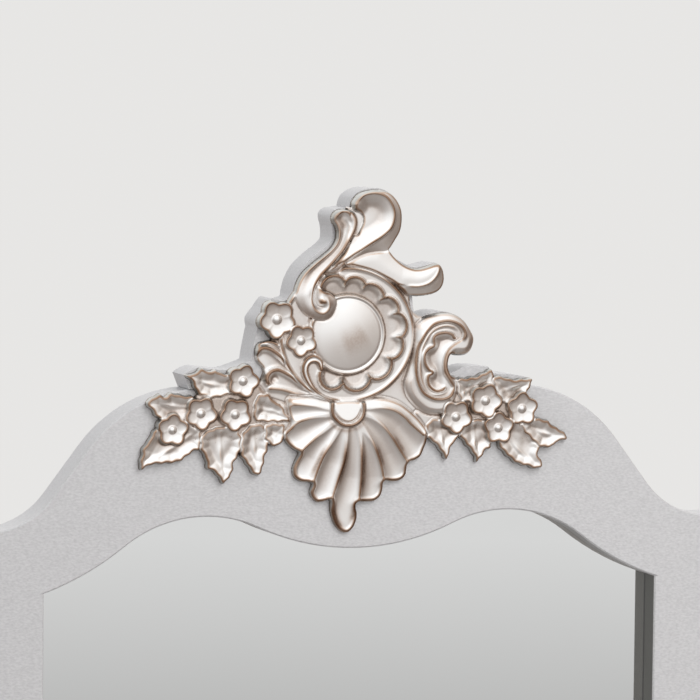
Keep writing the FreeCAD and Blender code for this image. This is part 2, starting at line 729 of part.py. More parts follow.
CLASP_SHARES = [
    (-0.100, 0.930, 0.017), (-0.100, 0.880, 0.018), (-0.068, 0.820, 0.018), (0.007, 0.790, 0.018),
    (0.082, 0.820, 0.018), (0.115, 0.880, 0.018), (0.115, 0.930, 0.017),
]
TONGUE_SHARES = [(0.007, 0.945, 0.070), (0.007, 0.880, 0.074), (0.007, 0.830, 0.040)]
LEAF_PROFILE_SHARES = [(0.0, 0.75), (0.25, 1.0), (0.5, 0.82), (0.68, 0.8), (0.87, 0.42), (1.0, 0.05)]
LEFT_LEAF_SHARES = [
    ((-0.72, 1.080), (-1.080, 1.120), 0.085), ((-1.04, 0.900), (-1.335, 0.965), 0.090),
    ((-1.04, 0.770), (-1.365, 0.550), 0.110), ((-0.87, 0.820), (-0.825, 0.440), 0.115),
    ((-0.65, 0.820), (-0.605, 0.492), 0.095), ((-0.50, 0.830), (-0.480, 0.662), 0.060),
    ((-0.66, 0.900), (-0.370, 0.845), 0.085),
]
RIGHT_LEAF_SHARES = [
    ((0.66, 1.020), (0.975, 1.130), 0.085), ((0.96, 0.985), (1.248, 1.066), 0.085),
    ((1.12, 0.800), (1.490, 0.692), 0.100), ((0.99, 0.760), (1.322, 0.520), 0.110),
    ((0.84, 0.820), (0.872, 0.545), 0.110), ((0.66, 0.820), (0.668, 0.565), 0.095),
]
LEFT_FLOWER_SHARES = [
    (-0.685, 1.090, 0.105, 0), (-0.960, 0.885, 0.105, 60), (-0.740, 0.875, 0.105, 48),
    (-1.150, 0.785, 0.100, 13),
]
UPPER_FLOWER_SHARES = [(-0.470, 1.470, 0.130, 48), (-0.312, 1.335, 0.105, 48)]
RIGHT_FLOWER_SHARES = [
    (0.735, 0.835, 0.105, 56), (0.940, 0.925, 0.110, -3), (1.175, 0.870, 0.110, 18),
    (1.030, 0.760, 0.100, 18),
]
RING_CENTRE_SHARE = (0.0, 1.355)
DOME_PROFILE_SHARES = ((0, 0.262), (0.5, 0.258), (0.58, 0.245), (0.5, 0.232), (0.36, 0.205), (0.62, 0.183),
                       (0.83, 0.137), (0.96, 0.075), (1, 0.03))
ROUND_SIDES = 30
RING_PROFILE_SHARES = ((0, 0.452), (0.8, 0.445), (1, 0.425), (0.9, 0), (0.35, 0.28))
LOBE_SHARES = ((-0.5, 0.345), (-0.3, 0.385), (0, 0.398), (0.3, 0.385))
LOBE_COUNT = 9
LOBE_FIRST = 102
LOBE_STEP = 26.1
PLAIN_STEPS = 8
FULL_TURN = 360
PETAL_COUNT = 5
PETAL_PLACE_SHARE = 0.58
PETAL_SHARE = 0.42
PETAL_STEP_SHARES = (-1, -0.6, 0, 0.6)
PETAL_RIM_SHARE = 0.92
FLOWER_BEAD_SHARES = ((0.5, 0.32), (1, 0.18))
module = size("crest_module")


def facing(centre, outline):
    """A loft facing forward, through closed outlines given as angles and radii at their rises."""
    x, z = on_crest(centre)
    sections = []
    for rise, reach in outline:
        sections.append([FreeCAD.Vector(x + radius * math.cos(angle), front - rise,
                                        z + radius * math.sin(angle)) for angle, radius in reach])
    return through(sections)


def round_reach(radius):
    """Angles and radii of a round outline."""
    return [(2 * math.pi * index / ROUND_SIDES, radius) for index in range(ROUND_SIDES)]


def dome():
    """A ball-shaped boss inside a stepped bead."""
    return facing(RING_CENTRE_SHARE, [(height * size("dome_rise"), round_reach(radius * module))
                                      for height, radius in DOME_PROFILE_SHARES])


def round_plan(radius, height):
    reach = round_reach(radius * module + size("casting_gap"))
    return facing(RING_CENTRE_SHARE, [(0, reach), (height, reach)])


def scallop_ring():
    """A rimmed disc whose face falls inward from a fan of lobes; the boss is let into it."""
    rise = size("ring_rise")
    lobes = []
    for index in range(LOBE_COUNT):
        middle = LOBE_FIRST - index * LOBE_STEP
        for along, radius in LOBE_SHARES:
            lobes.append((math.radians(middle - along * LOBE_STEP), radius))
    end = LOBE_FIRST - (LOBE_COUNT - 1 - LOBE_SHARES[0][0]) * LOBE_STEP
    plain = FULL_TURN + end - LOBE_FIRST - LOBE_STEP / 2
    for index in range(PLAIN_STEPS):
        lobes.append((math.radians(end - plain * index / PLAIN_STEPS), LOBE_SHARES[0][1]))
    levels = []
    for height, radius in RING_PROFILE_SHARES:
        reach = [(angle, (radius if radius else lobe) * module) for angle, lobe in lobes]
        levels.append((height * rise, reach))
    return facing(RING_CENTRE_SHARE, levels)


def petals(flower, scale, grow):
    """Angles and radii round a flower of round petals that meet in cusps."""
    half_step = math.pi / PETAL_COUNT
    reach = []
    for index in range(PETAL_COUNT):
        for along in PETAL_STEP_SHARES:
            lean = along * half_step
            radius = PETAL_PLACE_SHARE * math.cos(lean)
            radius += math.sqrt(PETAL_SHARE ** 2 - (PETAL_PLACE_SHARE * math.sin(lean)) ** 2)
            angle = math.radians(flower[3]) + 2 * half_step * index + lean
            reach.append((angle, radius * scale * flower[2] * module + grow))
    return reach


def flower_solid(flower):
    """Petals with sloping sides, dished towards a round bead."""
    levels = [(0, petals(flower, 1, 0)), (size("petal_rise"), petals(flower, PETAL_RIM_SHARE, 0))]
    for height, radius in FLOWER_BEAD_SHARES:
        levels.append((height * size("bead_rise"), [(angle, radius * flower[2] * module)
                                                    for angle, reach in levels[0][1]]))
    return facing(flower, levels)


def flower_plan(flower, height):
    reach = petals(flower, 1, size("casting_gap"))
    return facing(flower, [(0, reach), (height, reach)])


def leaf_stations(leaf):
    """Stations of one lobed leaf, from its root to its tip."""
    root, tip, half_width = leaf
    stations = []
    for along, width in LEAF_PROFILE_SHARES:
        stations.append((root[0] + (tip[0] - root[0]) * along, root[1] + (tip[1] - root[1]) * along,
                         half_width * width))
    return stations


block = size("dome_rise") + overrun
plans = []


def casting(label, solids, own_plans):
    """Bed a casting among those already laid, and let it cut the ones that follow."""
    solid = solids[0].fuse(solids[1:]) if len(solids) > 1 else solids[0]
    for plan in plans:
        if plan.BoundBox.intersect(solid.BoundBox):
            solid = solid.cut(plan)
    kept = [piece for piece in solid.Solids if piece.Volume > SLIVER_SHARE * solid.Volume]
    item = doc.addObject("Part::Feature", label)
    item.Shape = Part.makeCompound(kept)
    plans.extend(own_plans)
    return keep(item, label)


def strip_casting(label, strips, rise, steps):
    faired = [fair(stations, steps) for stations in strips]
    casting(label, [strip(stations, rise) for stations in faired],
            [strip_plan(stations, block) for stations in faired])


def flower_casting(label, flowers):
    casting(label, [flower_solid(flower) for flower in flowers],
            [flower_plan(flower, block) for flower in flowers])


flower_casting("crest_upper_flowers", UPPER_FLOWER_SHARES)
flower_casting("crest_left_flowers", LEFT_FLOWER_SHARES)
flower_casting("crest_right_flowers", RIGHT_FLOWER_SHARES)
strip_casting("crest_s_scroll", [S_SCROLL_SHARES], size("scroll_rise"), 2)
strip_casting("crest_clasp", [CLASP_SHARES, TONGUE_SHARES], size("clasp_rise"), 2)
casting("crest_dome", [dome()], [round_plan(DOME_PROFILE_SHARES[0][1], block)])
casting("crest_scallop_ring", [scallop_ring()], [round_plan(RING_PROFILE_SHARES[0][1], block)])
strip_casting("crest_top_plume", [TOP_PLUME_SHARES], size("plume_rise"), 2)
strip_casting("crest_side_plume", [SIDE_PLUME_SHARES], size("plume_rise"), 2)
strip_casting("crest_c_scroll", [C_SCROLL_SHARES], size("scroll_rise"), 2)
strip_casting("crest_ribs", RIB_SHARES, size("rib_rise"), 1)
strip_casting("crest_shell", FLUTE_SHARES, size("shell_rise"), 2)
strip_casting("crest_left_leaves", [leaf_stations(leaf) for leaf in LEFT_LEAF_SHARES], size("leaf_rise"), 1)
strip_casting("crest_right_leaves", [leaf_stations(leaf) for leaf in RIGHT_LEAF_SHARES], size("leaf_rise"), 1)

# Check every object and write the sub-parts
doc.recompute()
failed = [item.Name for item in doc.Objects if "Invalid" in item.State or "Error" in item.State]
if failed:
    raise RuntimeError("failed objects: %s" % failed)
for item in sub_parts:
    if item.Shape.isNull() or not item.Shape.isValid():
        raise RuntimeError("bad shape: " + item.Label)
os.makedirs("parts", exist_ok=True)
for item in sub_parts:
    item.Shape.exportStep("parts/%s.step" % item.Label)
    print(item.Label, round(item.Shape.Volume), len(item.Shape.Solids))
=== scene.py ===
"""Looks of the vanity mirror: painted boards, mirror glass, brass and steel fittings and the cast crest.

Metres in the scene. The crest is drawn in millimetres: across from the frame's centre line and up
from the dip of the arch.
"""

import bmesh
import bpy
import json
import math
import numpy as np
from mathutils import Matrix, Vector


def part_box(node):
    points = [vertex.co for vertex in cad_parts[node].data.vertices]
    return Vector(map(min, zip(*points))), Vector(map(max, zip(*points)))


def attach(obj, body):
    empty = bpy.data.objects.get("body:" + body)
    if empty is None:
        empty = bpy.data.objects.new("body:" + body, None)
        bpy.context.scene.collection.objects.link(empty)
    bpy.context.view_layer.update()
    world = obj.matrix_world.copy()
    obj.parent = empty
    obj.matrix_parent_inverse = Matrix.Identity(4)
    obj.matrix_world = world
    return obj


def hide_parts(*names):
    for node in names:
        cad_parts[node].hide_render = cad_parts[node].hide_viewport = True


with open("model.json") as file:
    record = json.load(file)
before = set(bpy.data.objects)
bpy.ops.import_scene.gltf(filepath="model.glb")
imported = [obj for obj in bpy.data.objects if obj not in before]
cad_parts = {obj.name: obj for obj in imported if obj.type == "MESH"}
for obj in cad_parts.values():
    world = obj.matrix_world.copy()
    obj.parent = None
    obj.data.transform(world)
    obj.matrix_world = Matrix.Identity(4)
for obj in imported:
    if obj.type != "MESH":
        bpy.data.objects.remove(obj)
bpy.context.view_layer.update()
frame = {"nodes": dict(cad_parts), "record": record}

# Millimetres: front of the boards, height of the dip, then the step and the reach of the crest's grid
FRONT = -12.5
DIP_Z = 590.0
STEP = 0.4
LEFT, RIGHT, LOW, HIGH = -148.0, 145.0, 8.0, 229.0
MM_PER_M = 1000
TINY = 1e-6
FULL_TURN = 2 * math.pi

# Maps on the grid: height, piece, distance inside the outlines, where copper may show, painted shade in the
# flowers' bowls
xs = np.arange(LEFT, RIGHT + STEP, STEP)
zs = np.arange(LOW, HIGH + STEP, STEP)
GX, GZ = np.meshgrid(xs, zs)
height = np.zeros(GX.shape)
label = np.zeros(GX.shape, int)
FAR_OUTSIDE = -9.0
inside = np.full(GX.shape, FAR_OUTSIDE)
plain = np.ones(GX.shape)
bowl_shade = np.zeros(GX.shape)
NODES = ["none"]


# Curves and distances
def smooth(points, steps=5, closed=True):
    """A smooth curve through points."""
    p = np.array(points, float)
    n = len(p)
    t = (np.arange(steps) / steps)[:, None]
    out = []
    for i in range(n if closed else n - 1):
        if closed:
            a, b, c, d = p[i - 1], p[i], p[(i + 1) % n], p[(i + 2) % n]
        else:
            a, b, c, d = p[max(i - 1, 0)], p[i], p[i + 1], p[min(i + 2, n - 1)]
        out.append(0.5 * (2 * b + (c - a) * t + (2 * a - 5 * b + 4 * c - d) * t ** 2
                          + (3 * b - a - 3 * c + d) * t ** 3))
    if not closed:
        out.append(p[-1:])
    return np.concatenate(out)


def window(curve, margin):
    """The part of the grid round a curve."""
    i0 = max(int((curve[:, 0].min() - margin - LEFT) / STEP), 0)
    i1 = min(int((curve[:, 0].max() + margin - LEFT) / STEP) + 2, len(xs))
    j0 = max(int((curve[:, 1].min() - margin - LOW) / STEP), 0)
    j1 = min(int((curve[:, 1].max() + margin - LOW) / STEP) + 2, len(zs))
    return slice(j0, j1), slice(i0, i1)


def to_line(curve, x, z, closed=False):
    """Distance to a chain of short straight pieces, and the share of the chain at the nearest point."""
    a = curve
    b = np.roll(curve, -1, axis=0)
    if not closed:
        a, b = a[:-1], b[:-1]
    best = np.full(x.shape, np.inf)
    along = np.zeros(x.shape)
    for i in range(len(a)):
        d = b[i] - a[i]
        t = np.clip(((x - a[i][0]) * d[0] + (z - a[i][1]) * d[1]) / max(d @ d, TINY ** 2), 0, 1)
        dist = (x - a[i][0] - t * d[0]) ** 2 + (z - a[i][1] - t * d[1]) ** 2
        along = np.where(dist < best, (i + t) / len(a), along)
        best = np.minimum(dist, best)
    return np.sqrt(best), along


def line_distance(points, x, z, steps=5):
    """Distance to the smooth curve through points."""
    return to_line(smooth(points, steps, closed=False), x, z)[0]


def within(curve, x, z):
    """Signed distance to a closed outline, positive inside."""
    dist = to_line(curve, x, z, True)[0]
    hit = np.zeros(x.shape, bool)
    for (ax, az), (bx, bz) in zip(curve, np.roll(curve, -1, axis=0)):
        if az != bz:
            hit ^= ((az > z) != (bz > z)) & (x < (bx - ax) * (z - az) / (bz - az) + ax)
    return np.where(hit, dist, -dist)


def around(count):
    """Evenly spaced angles of one turn."""
    return np.linspace(0, FULL_TURN, count, endpoint=False)


def ellipse(middle, across, up, angles):
    return [(middle[0] + across * math.cos(a), middle[1] + up * math.sin(a)) for a in angles]


# Profiles
def ease(t):
    """From 0 to 1 with a soft start and end."""
    t = np.clip(t, 0, 1)
    return t * t * (3 - 2 * t)


def side(d, top, run):
    """A rounded side that rises from the outline."""
    t = np.clip(d / run, 0, 1)
    return top * np.sqrt(t * (2 - t))


def rim(d, top, run, drop, fall):
    """A rounded side with a rim, and a lower face inside it."""
    return side(d, top, run) - step_down(d, drop, 0.9 * run, fall)


def step_down(d, depth, start, run):
    """A soft step down that begins at a distance inside a line."""
    return depth * ease((d - start) / run)


def bump(dist, amount, width):
    """A soft swelling about a line."""
    return amount * np.exp(-(dist / width) ** 2)


def profile(t, stops):
    """A smooth profile through (place, height) stops."""
    curve = smooth(stops, 8, closed=False)
    return np.interp(t, curve[:, 0], curve[:, 1])


def wavy(curve, amount, pitch):
    """A closed curve with small waves along it."""
    step = np.roll(curve, -1, axis=0) - np.roll(curve, 1, axis=0)
    outward = np.stack([step[:, 1], -step[:, 0]], axis=1) / np.hypot(step[:, 0], step[:, 1])[:, None]
    gone = np.cumsum(np.linalg.norm(curve - np.roll(curve, 1, axis=0), axis=1))
    count = max(round(gone[-1] / pitch), 1)
    return curve + amount * np.sin(FULL_TURN * count * gone / gone[-1])[:, None] * outward


# Laying pieces on each other
STEEPEST = 3.0


def lay(node, win, d, h):
    """A piece wins inside its outline, past a steep slope where what lies under it is higher."""
    if node not in NODES:
        NODES.append(node)
    under = height[win]
    slope = under - STEEPEST * np.maximum(d, 0)
    mask = d > 0
    height[win] = np.where(mask, np.maximum(h, slope), under)
    label[win] = np.where(mask & (h >= slope), NODES.index(node), label[win])
    inside[win] = np.maximum(inside[win], d)


def lay_outline(node, points, face, steps=5, wave=0.0, pitch=7.0):
    """Lay a piece with a smooth outline and a face that gives its height."""
    curve = wavy(smooth(points, steps), wave, pitch)
    win = window(curve, margin=2.0)
    d = within(curve, GX[win], GZ[win])
    lay(node, win, d, face(d, GX[win], GZ[win]))


def ridge(node, points, amount, width, fade=0.12, steps=5):
    """Raise a soft line on a piece, or sink it where the amount is negative."""
    curve = smooth(points, steps, closed=False)
    win = window(curve, margin=3 * width)
    dist, along = to_line(curve, GX[win], GZ[win])
    ends = ease(np.minimum(along, 1 - along) / fade) if fade else 1.0
    allowed = label[win] == NODES.index(node)
    height[win] += np.where(allowed, bump(dist, amount, width) * ends, 0)


def swept_side(x, z, edge, crease, face, top, dish, reach):
    """A sloping side between an edge and a crease, with a dished face inside the crease."""
    foot = 0.62
    outer = line_distance(edge, x, z)
    inner = line_distance(crease, x, z)
    t = outer / np.maximum(outer + inner, TINY)
    slope = top * (foot + (1 - foot) * t)
    hollow = top - dish * ease(inner / reach)
    return np.where(within(smooth(face), x, z) > 0, hollow, slope)


def across(x, z, left, right):
    """Share of the way from one edge to another, and the share along the first."""
    near, along = to_line(smooth(left, 5, closed=False), x, z)
    return near / np.maximum(near + line_distance(right, x, z), TINY), along


# Low ground that joins the middle of the crest
GROUND = [(-70, 97), (-64, 113), (-69, 121), (-68, 131), (-58, 134), (-48, 140), (-44, 160), (-38, 176),
          (-23, 178), (0, 182), (30, 166), (36, 150), (52, 142), (57, 120), (62, 106), (50, 82),
          (-48, 82)]
lay_outline("crest_ribs", GROUND, lambda d, x, z: side(d, top=2.4, run=2.0))

# Low ground under the two groups of leaves and flowers
LEAF_GROUNDS = {
    "crest_left_leaves": [(-110, 98), (-95, 106), (-71, 108), (-60, 98), (-47, 92), (-45, 78), (-56, 71),
                          (-75, 70), (-98, 68), (-118, 71), (-127, 79), (-119, 92)],
    "crest_right_leaves": [(60, 94), (66, 102), (80, 105), (94, 103), (108, 98), (120, 82), (116, 68),
                           (84, 68), (60, 72), (47, 73), (35, 80), (38, 88), (50, 90)],
}
MIDDLE_HALF = 58
NO_GROUND = -1.0
for node, points in LEAF_GROUNDS.items():
    lay_outline(node, points, lambda d, x, z: side(d, top=3.4, run=3.0))
under_leaves = np.where((label > NODES.index("crest_ribs")) & (np.abs(GX) > MIDDLE_HALF), height, NO_GROUND)

# Leaves: an outline, then the vein from root to tip
LEAVES = {
    "crest_left_leaves": [
        ([(-115.5, 112.5), (-110.5, 112.8), (-106.5, 116), (-102, 115.5), (-98.5, 114.3), (-95.5, 115.5),
          (-91, 113), (-83.5, 112), (-84, 101), (-97, 97), (-106.5, 99.5), (-109, 102), (-111.5, 107.5)],
         [(-86, 105), (-99, 106), (-113.5, 111.5)]),
        ([(-141, 95), (-137.5, 98), (-133, 100.5), (-129, 99.2), (-126, 100.8), (-122, 101), (-118, 99.8),
          (-109, 98), (-110, 87), (-123, 82), (-132.5, 84.5), (-136.5, 89)],
         [(-113, 92), (-125, 93), (-139, 95)]),
        ([(-145, 55), (-144, 62.5), (-142.5, 68), (-139.5, 71), (-138, 74.5), (-135, 78.5), (-129, 83.5),
          (-116.5, 83), (-105, 76.5), (-105.5, 65.5), (-110, 63.5), (-114, 60.5), (-119, 57.5),
          (-125.5, 56.5), (-132, 56.2), (-138.5, 55.5), (-142.5, 53)],
         [(-112, 74), (-126, 65), (-142.5, 56)]),
        ([(-105.5, 65.5), (-102, 59), (-101.5, 54), (-98.5, 51.5), (-95.5, 50), (-92, 45), (-89.5, 43),
          (-87, 45.5), (-83.5, 50.5), (-83, 55.5), (-80.5, 60), (-78, 66), (-79, 75), (-90.5, 80),
          (-104, 75.5)], [(-92, 78), (-92, 62), (-89.6, 46)]),
        ([(-79, 61), (-75.5, 56), (-71.5, 50), (-67.5, 47.5), (-64.5, 50.5), (-63, 55.5), (-62, 60.5),
          (-60, 66.5), (-61, 78), (-70.5, 81), (-78.5, 74)], [(-70.5, 79), (-69.5, 64), (-67.3, 50)]),
        ([(-63.5, 72), (-60, 67.5), (-56, 65.5), (-52, 68), (-50, 70), (-50, 80), (-62, 80.5)],
         [(-56, 79), (-56, 67.5)]),
        ([(-69.5, 97), (-63, 100), (-59, 98), (-55.5, 94.2), (-52.5, 93.3), (-48.5, 87), (-44.5, 82.8),
          (-49.5, 81.3), (-57.5, 81), (-65.5, 81.5), (-71, 84)], [(-68, 90), (-58, 88.5), (-46.5, 83.5)]),
    ],
    "crest_right_leaves": [
        ([(64, 107), (71.5, 108), (78.5, 109), (84, 111.5), (89.5, 113), (90.5, 109.5), (91, 102.5),
          (83, 93), (69, 92.5), (65, 100)], [(70, 98), (79, 103), (88.5, 111.5)]),
        ([(89.5, 108), (96, 108.5), (101.5, 107), (107, 106.5), (112.5, 107), (117.5, 106), (116, 102.5),
          (114, 98), (106, 87.5), (96.5, 91.5), (90.5, 102)], [(94, 98), (104, 101), (116, 105.3)]),
        ([(109, 79), (118, 73), (122.5, 65), (122, 57), (125, 53), (124.5, 50), (120.5, 48),
          (113.5, 50), (106.5, 52), (99.5, 57.5), (94, 64), (92.5, 73.5), (99.5, 78.5)],
         [(99, 73), (109, 60), (122.5, 50.5)]),
        ([(118, 81.5), (127, 80), (132.5, 76), (138, 73), (142, 68.7), (140, 66.5), (134, 65), (132, 62.5),
          (125.5, 61.5), (121, 63), (116, 67.5), (110.5, 73), (109, 78)],
         [(113, 76), (126, 71), (140, 68.5)]),
        ([(67.5, 70.5), (72.5, 64), (77, 58.5), (79, 53.5), (82.5, 56), (85.5, 60.5), (89.5, 64),
          (88.5, 79), (76, 81.5), (67.5, 75.5)], [(77, 79), (78, 66), (79.2, 56)]),
        ([(43.5, 71.5), (48.5, 67.5), (53.5, 62.5), (57.5, 56.5), (60, 55.5), (61, 60), (63.5, 65.5),
          (67, 69.5), (67.5, 80.5), (55.5, 82.5), (46.5, 81)], [(54, 80), (56, 68), (59.2, 57.5)]),
    ],
}
LEAF_WAVES = [(1.6, -0.05), (2.2, 0.08)]
LEAF_FOLD = 0.2
LEAF_RIM, LEAF_FADE = 2, 3


def leaf_face(vein):
    """A bowl with a raised vein and folds that wave along the vein and away from it."""
    spine = smooth(vein, 6, closed=False)

    def face(d, x, z):
        dist, along = to_line(spine, x, z)
        bowl = step_down(d, depth=2.0, start=0.8, run=6.5)
        off_rim = ease((d - LEAF_RIM) / LEAF_FADE)
        waves = sum(np.cos(FULL_TURN * (run * along + lean * dist)) for run, lean in LEAF_WAVES)
        raised = bump(dist, amount=0.45, width=1.3) * off_rim
        return side(d, top=4.6, run=1.3) - bowl + LEAF_FOLD * waves * off_rim + raised

    return face


for node, leaves in LEAVES.items():
    for outline, vein in leaves:
        lay_outline(node, outline, leaf_face(vein), steps=6, wave=0.4)

# Shell: ridges fan out from the clasp, with hollow flutes between them
SHELL = [(-20, 97), (-31, 98.5), (-47, 98), (-49.5, 92), (-48, 86), (-47, 80), (-51, 74), (-48.5, 68.5),
         (-44, 64), (-40.3, 61.5), (-42.5, 56.5), (-44, 51.5), (-43, 46.5), (-39, 43.5), (-34, 42.7),
         (-31.2, 41.5), (-32.5, 37), (-31, 33), (-27.5, 30), (-22.5, 30.5), (-19, 31), (-18.5, 24),
         (-16, 16.5), (-12, 11.5), (-7.5, 10), (-3.5, 12.5), (-1, 17.5), (-0.5, 22.5), (-1.5, 26.5),
         (-0.5, 29.3), (6, 29.5), (11, 30), (15, 33), (16.5, 37.5), (17, 42.3), (23, 42), (28.5, 43),
         (32, 46.5), (33, 53.5), (38, 55.5), (42, 58), (44, 62.5), (45.8, 67.5), (45.8, 74.5), (41, 82),
         (34, 88.5), (26, 94), (16, 97), (4, 97)]
RIDGES = [
    [(-9, 91), (-20, 90), (-31, 92), (-47, 93)],
    [(-12, 86), (-20, 85.5), (-31, 84.5), (-40.5, 82), (-49.5, 78)],
    [(-12, 83), (-19.5, 79.5), (-24.5, 75.5), (-31, 70.5), (-40.5, 62)],
    [(-11.5, 81), (-15.5, 75), (-19.5, 68), (-25.5, 58), (-31.5, 42)],
    [(-9.5, 80), (-9.5, 72), (-10.5, 57.5), (-13.5, 47.5), (-19, 31)],
    [(-3, 81), (-1, 76), (0.5, 66), (1, 56), (1, 44.5), (-0.5, 30)],
    [(-2, 81), (2.5, 75.5), (8, 68), (12, 59.5), (14.5, 52), (16.5, 42.5)],
    [(-2, 86), (6.5, 84), (14.5, 78.5), (21, 71), (26.5, 63), (32.7, 54)],
    [(-6, 90), (5, 90), (14, 90), (22.5, 88), (29.5, 83.5), (34, 79), (42.5, 72)],
]
CLASP_X, CLASP_Z = -9.0, 89.0
FLUTE_SHARE, FLUTE_DEEPEST = 0.19, 2.8
CROWN_TOP, SHELL_TOP = 7.2, 6.5
EDGE_RUN, HEAD_RUN = 2.0, 6.5
HEAD_FROM, HEAD_REACH = 70, 14
RIM_INSET = 2.0


def shell_face(d, x, z):
    """Flutes as deep as the ridges lie apart, falling away from the clasp inside a raised rim."""
    near = np.sort([line_distance(line, x, z) for line in RIDGES], axis=0)
    spread = near[0] + near[1]
    share = near[0] / np.maximum(spread, TINY)
    hollow = np.minimum(FLUTE_SHARE * spread, FLUTE_DEEPEST) * 4 * share * (1 - share)
    far = np.hypot(x - CLASP_X, z - CLASP_Z)
    crown = CROWN_TOP - step_down(far, depth=1.8, start=15, run=40) - hollow
    crown = crown + bump(near[0], amount=0.5, width=0.8)
    run = EDGE_RUN + HEAD_RUN * ease((z - HEAD_FROM) / HEAD_REACH)
    return np.minimum(side(d, SHELL_TOP, run), crown + bump(d - RIM_INSET, amount=0.7, width=0.9))


lay_outline("crest_shell", SHELL, shell_face)

# Ribs that fan out left of the ring: a line, its rise and its width
RIBS = [([(-70, 124), (-66.5, 128), (-61, 128), (-54.5, 124), (-48.5, 118.5), (-41, 110)], 3.4, 1.9),
        ([(-69, 130), (-66, 132.5), (-60, 132.5), (-53.5, 129), (-47.5, 123), (-41, 114)], 1.6, 1.1),
        ([(-59.5, 104.5), (-62, 108.5), (-60, 113), (-55, 114.5), (-49, 112), (-42.5, 108), (-34, 101)],
         3.0, 1.7),
        ([(-58.5, 106), (-57, 109), (-54.5, 110)], -1.2, 1.8),
        ([(-62, 103), (-52, 102), (-40, 98.5), (-28, 96)], 1.6, 1.6)]
for points, amount, width in RIBS:
    ridge("crest_ribs", points, amount, width)

# Scroll in the shape of a C
C_OUTER = [(65, 108.5), (66, 104), (66, 99), (64.5, 93.5), (61, 88.5), (57, 84), (49, 83.5), (42, 85.5),
           (35.5, 90.5), (30.5, 97), (28.5, 105), (30.5, 112), (33.5, 121.5), (35, 131.5), (36, 140.5),
           (39.5, 145), (44, 147.5), (51, 149), (57.5, 149.5), (64.5, 148), (70.5, 144), (74.5, 138.5),
           (77, 133.5), (76.5, 128.5), (74, 124), (70, 122), (64.5, 122)]
C_NOTCH = [(64.5, 122), (61, 122.5), (59.5, 118.5), (59.5, 114), (61.5, 109.8), (65, 108.5)]
C_RIM = [(67.5, 131.5), (69.2, 134), (69.5, 137), (67.5, 140.5), (64, 143), (58.5, 144.5), (53, 144),
         (47.5, 142), (43.5, 138), (40.5, 133), (38, 128), (37, 121.5), (36.5, 115.5), (37, 109), (39, 103),
         (42, 98.5), (47, 95.5), (51.5, 94.5), (57, 95), (61, 97.5), (63, 102)]
C_PANEL = [(65, 132.5), (62.5, 133.5), (61, 135.5), (57.5, 136.8), (53, 136.5), (49.5, 135), (48.5, 132.5),
           (48.7, 128.8), (45, 126.5), (42.5, 123), (43, 117.5), (45.5, 113.5), (48, 111.5), (45.3, 109.5),
           (45, 106), (46.5, 102.5), (50.5, 99.8), (55, 100.5), (57.5, 103)]
C_GROOVE = [(65.5, 138), (62, 140.3), (57, 141.3), (51.5, 140), (46.5, 136.5), (43, 131), (40.5, 124.5),
            (39.8, 117), (40.5, 109), (43, 102), (48, 97.8), (54, 97.5), (59, 99.5)]
C_WELL = C_RIM + [(60, 107), (57, 112), (56.5, 119), (58.5, 125), (63, 129)]
C_BED = C_PANEL + [(57.5, 109), (56, 114), (55.5, 120), (57.5, 126)]


def c_face(d, x, z):
    """A rounded body with a well inside the rim, and a bed inside the panel's line."""
    outer = line_distance(C_OUTER, x, z)
    notch = line_distance(C_NOTCH, x, z)
    body = np.minimum(side(outer, top=6.8, run=8.5), side(notch, top=6.2, run=2.0))
    well = step_down(within(smooth(C_WELL), x, z), depth=1.8, start=0.3, run=1.6)
    bed = step_down(within(smooth(C_BED), x, z), depth=1.9, start=0.4, run=5.5)
    return body - well - bed


lay_outline("crest_c_scroll", C_OUTER + C_NOTCH[1:-1], c_face)
ridge("crest_c_scroll", C_RIM, amount=1.3, width=1.1, fade=0.06)
ridge("crest_c_scroll", C_GROOVE, amount=0.9, width=0.8, fade=0.1)
ridge("crest_c_scroll", C_PANEL, amount=1.9, width=1.1, fade=0.06)

# Side plume
SIDE_EDGE = [(54, 179), (55.5, 175.5), (56, 170), (54, 165), (50, 162), (44, 160.5), (37, 160), (31, 161)]
SIDE_TOP = [(-21.5, 179), (-10, 185), (-1, 191), (7, 194), (15, 193), (22, 185.5), (27.5, 181),
            (33, 178.5), (38, 177.8), (43.5, 179), (48.5, 180.7), (51.5, 181)]
SIDE_RING = [(26, 165), (20, 169.5), (13, 173), (3.5, 177), (-10, 180)]
SIDE_CREASE = [(30, 167), (36.5, 166.5), (42, 167.5), (46, 169.5), (49.5, 173), (51.5, 177), (51.8, 179.8)]
SIDE_FACE = SIDE_CREASE + [(48, 181), (36, 181), (16, 192), (-24, 182), (-24, 176), (10, 170)]


def side_plume(d, x, z):
    """A swelling ribbon, and a flank under its crease."""
    t = across(x, z, SIDE_TOP, SIDE_RING[::-1] + SIDE_CREASE)[0]
    ribbon = profile(t, [(0, 4.9), (0.3, 5.7), (0.6, 6.2), (1, 6.1)])
    lower = swept_side(x, z, SIDE_EDGE, SIDE_CREASE, SIDE_FACE, top=6.2, dish=0, reach=1.0)
    face = np.where(within(smooth(SIDE_FACE), x, z) > 0, ribbon, lower)
    return np.minimum(face, side(d, top=6.6, run=1.5))


lay_outline("crest_side_plume", SIDE_TOP + SIDE_EDGE + SIDE_RING, side_plume)
ridge("crest_side_plume", SIDE_CREASE, amount=0.6, width=0.9)

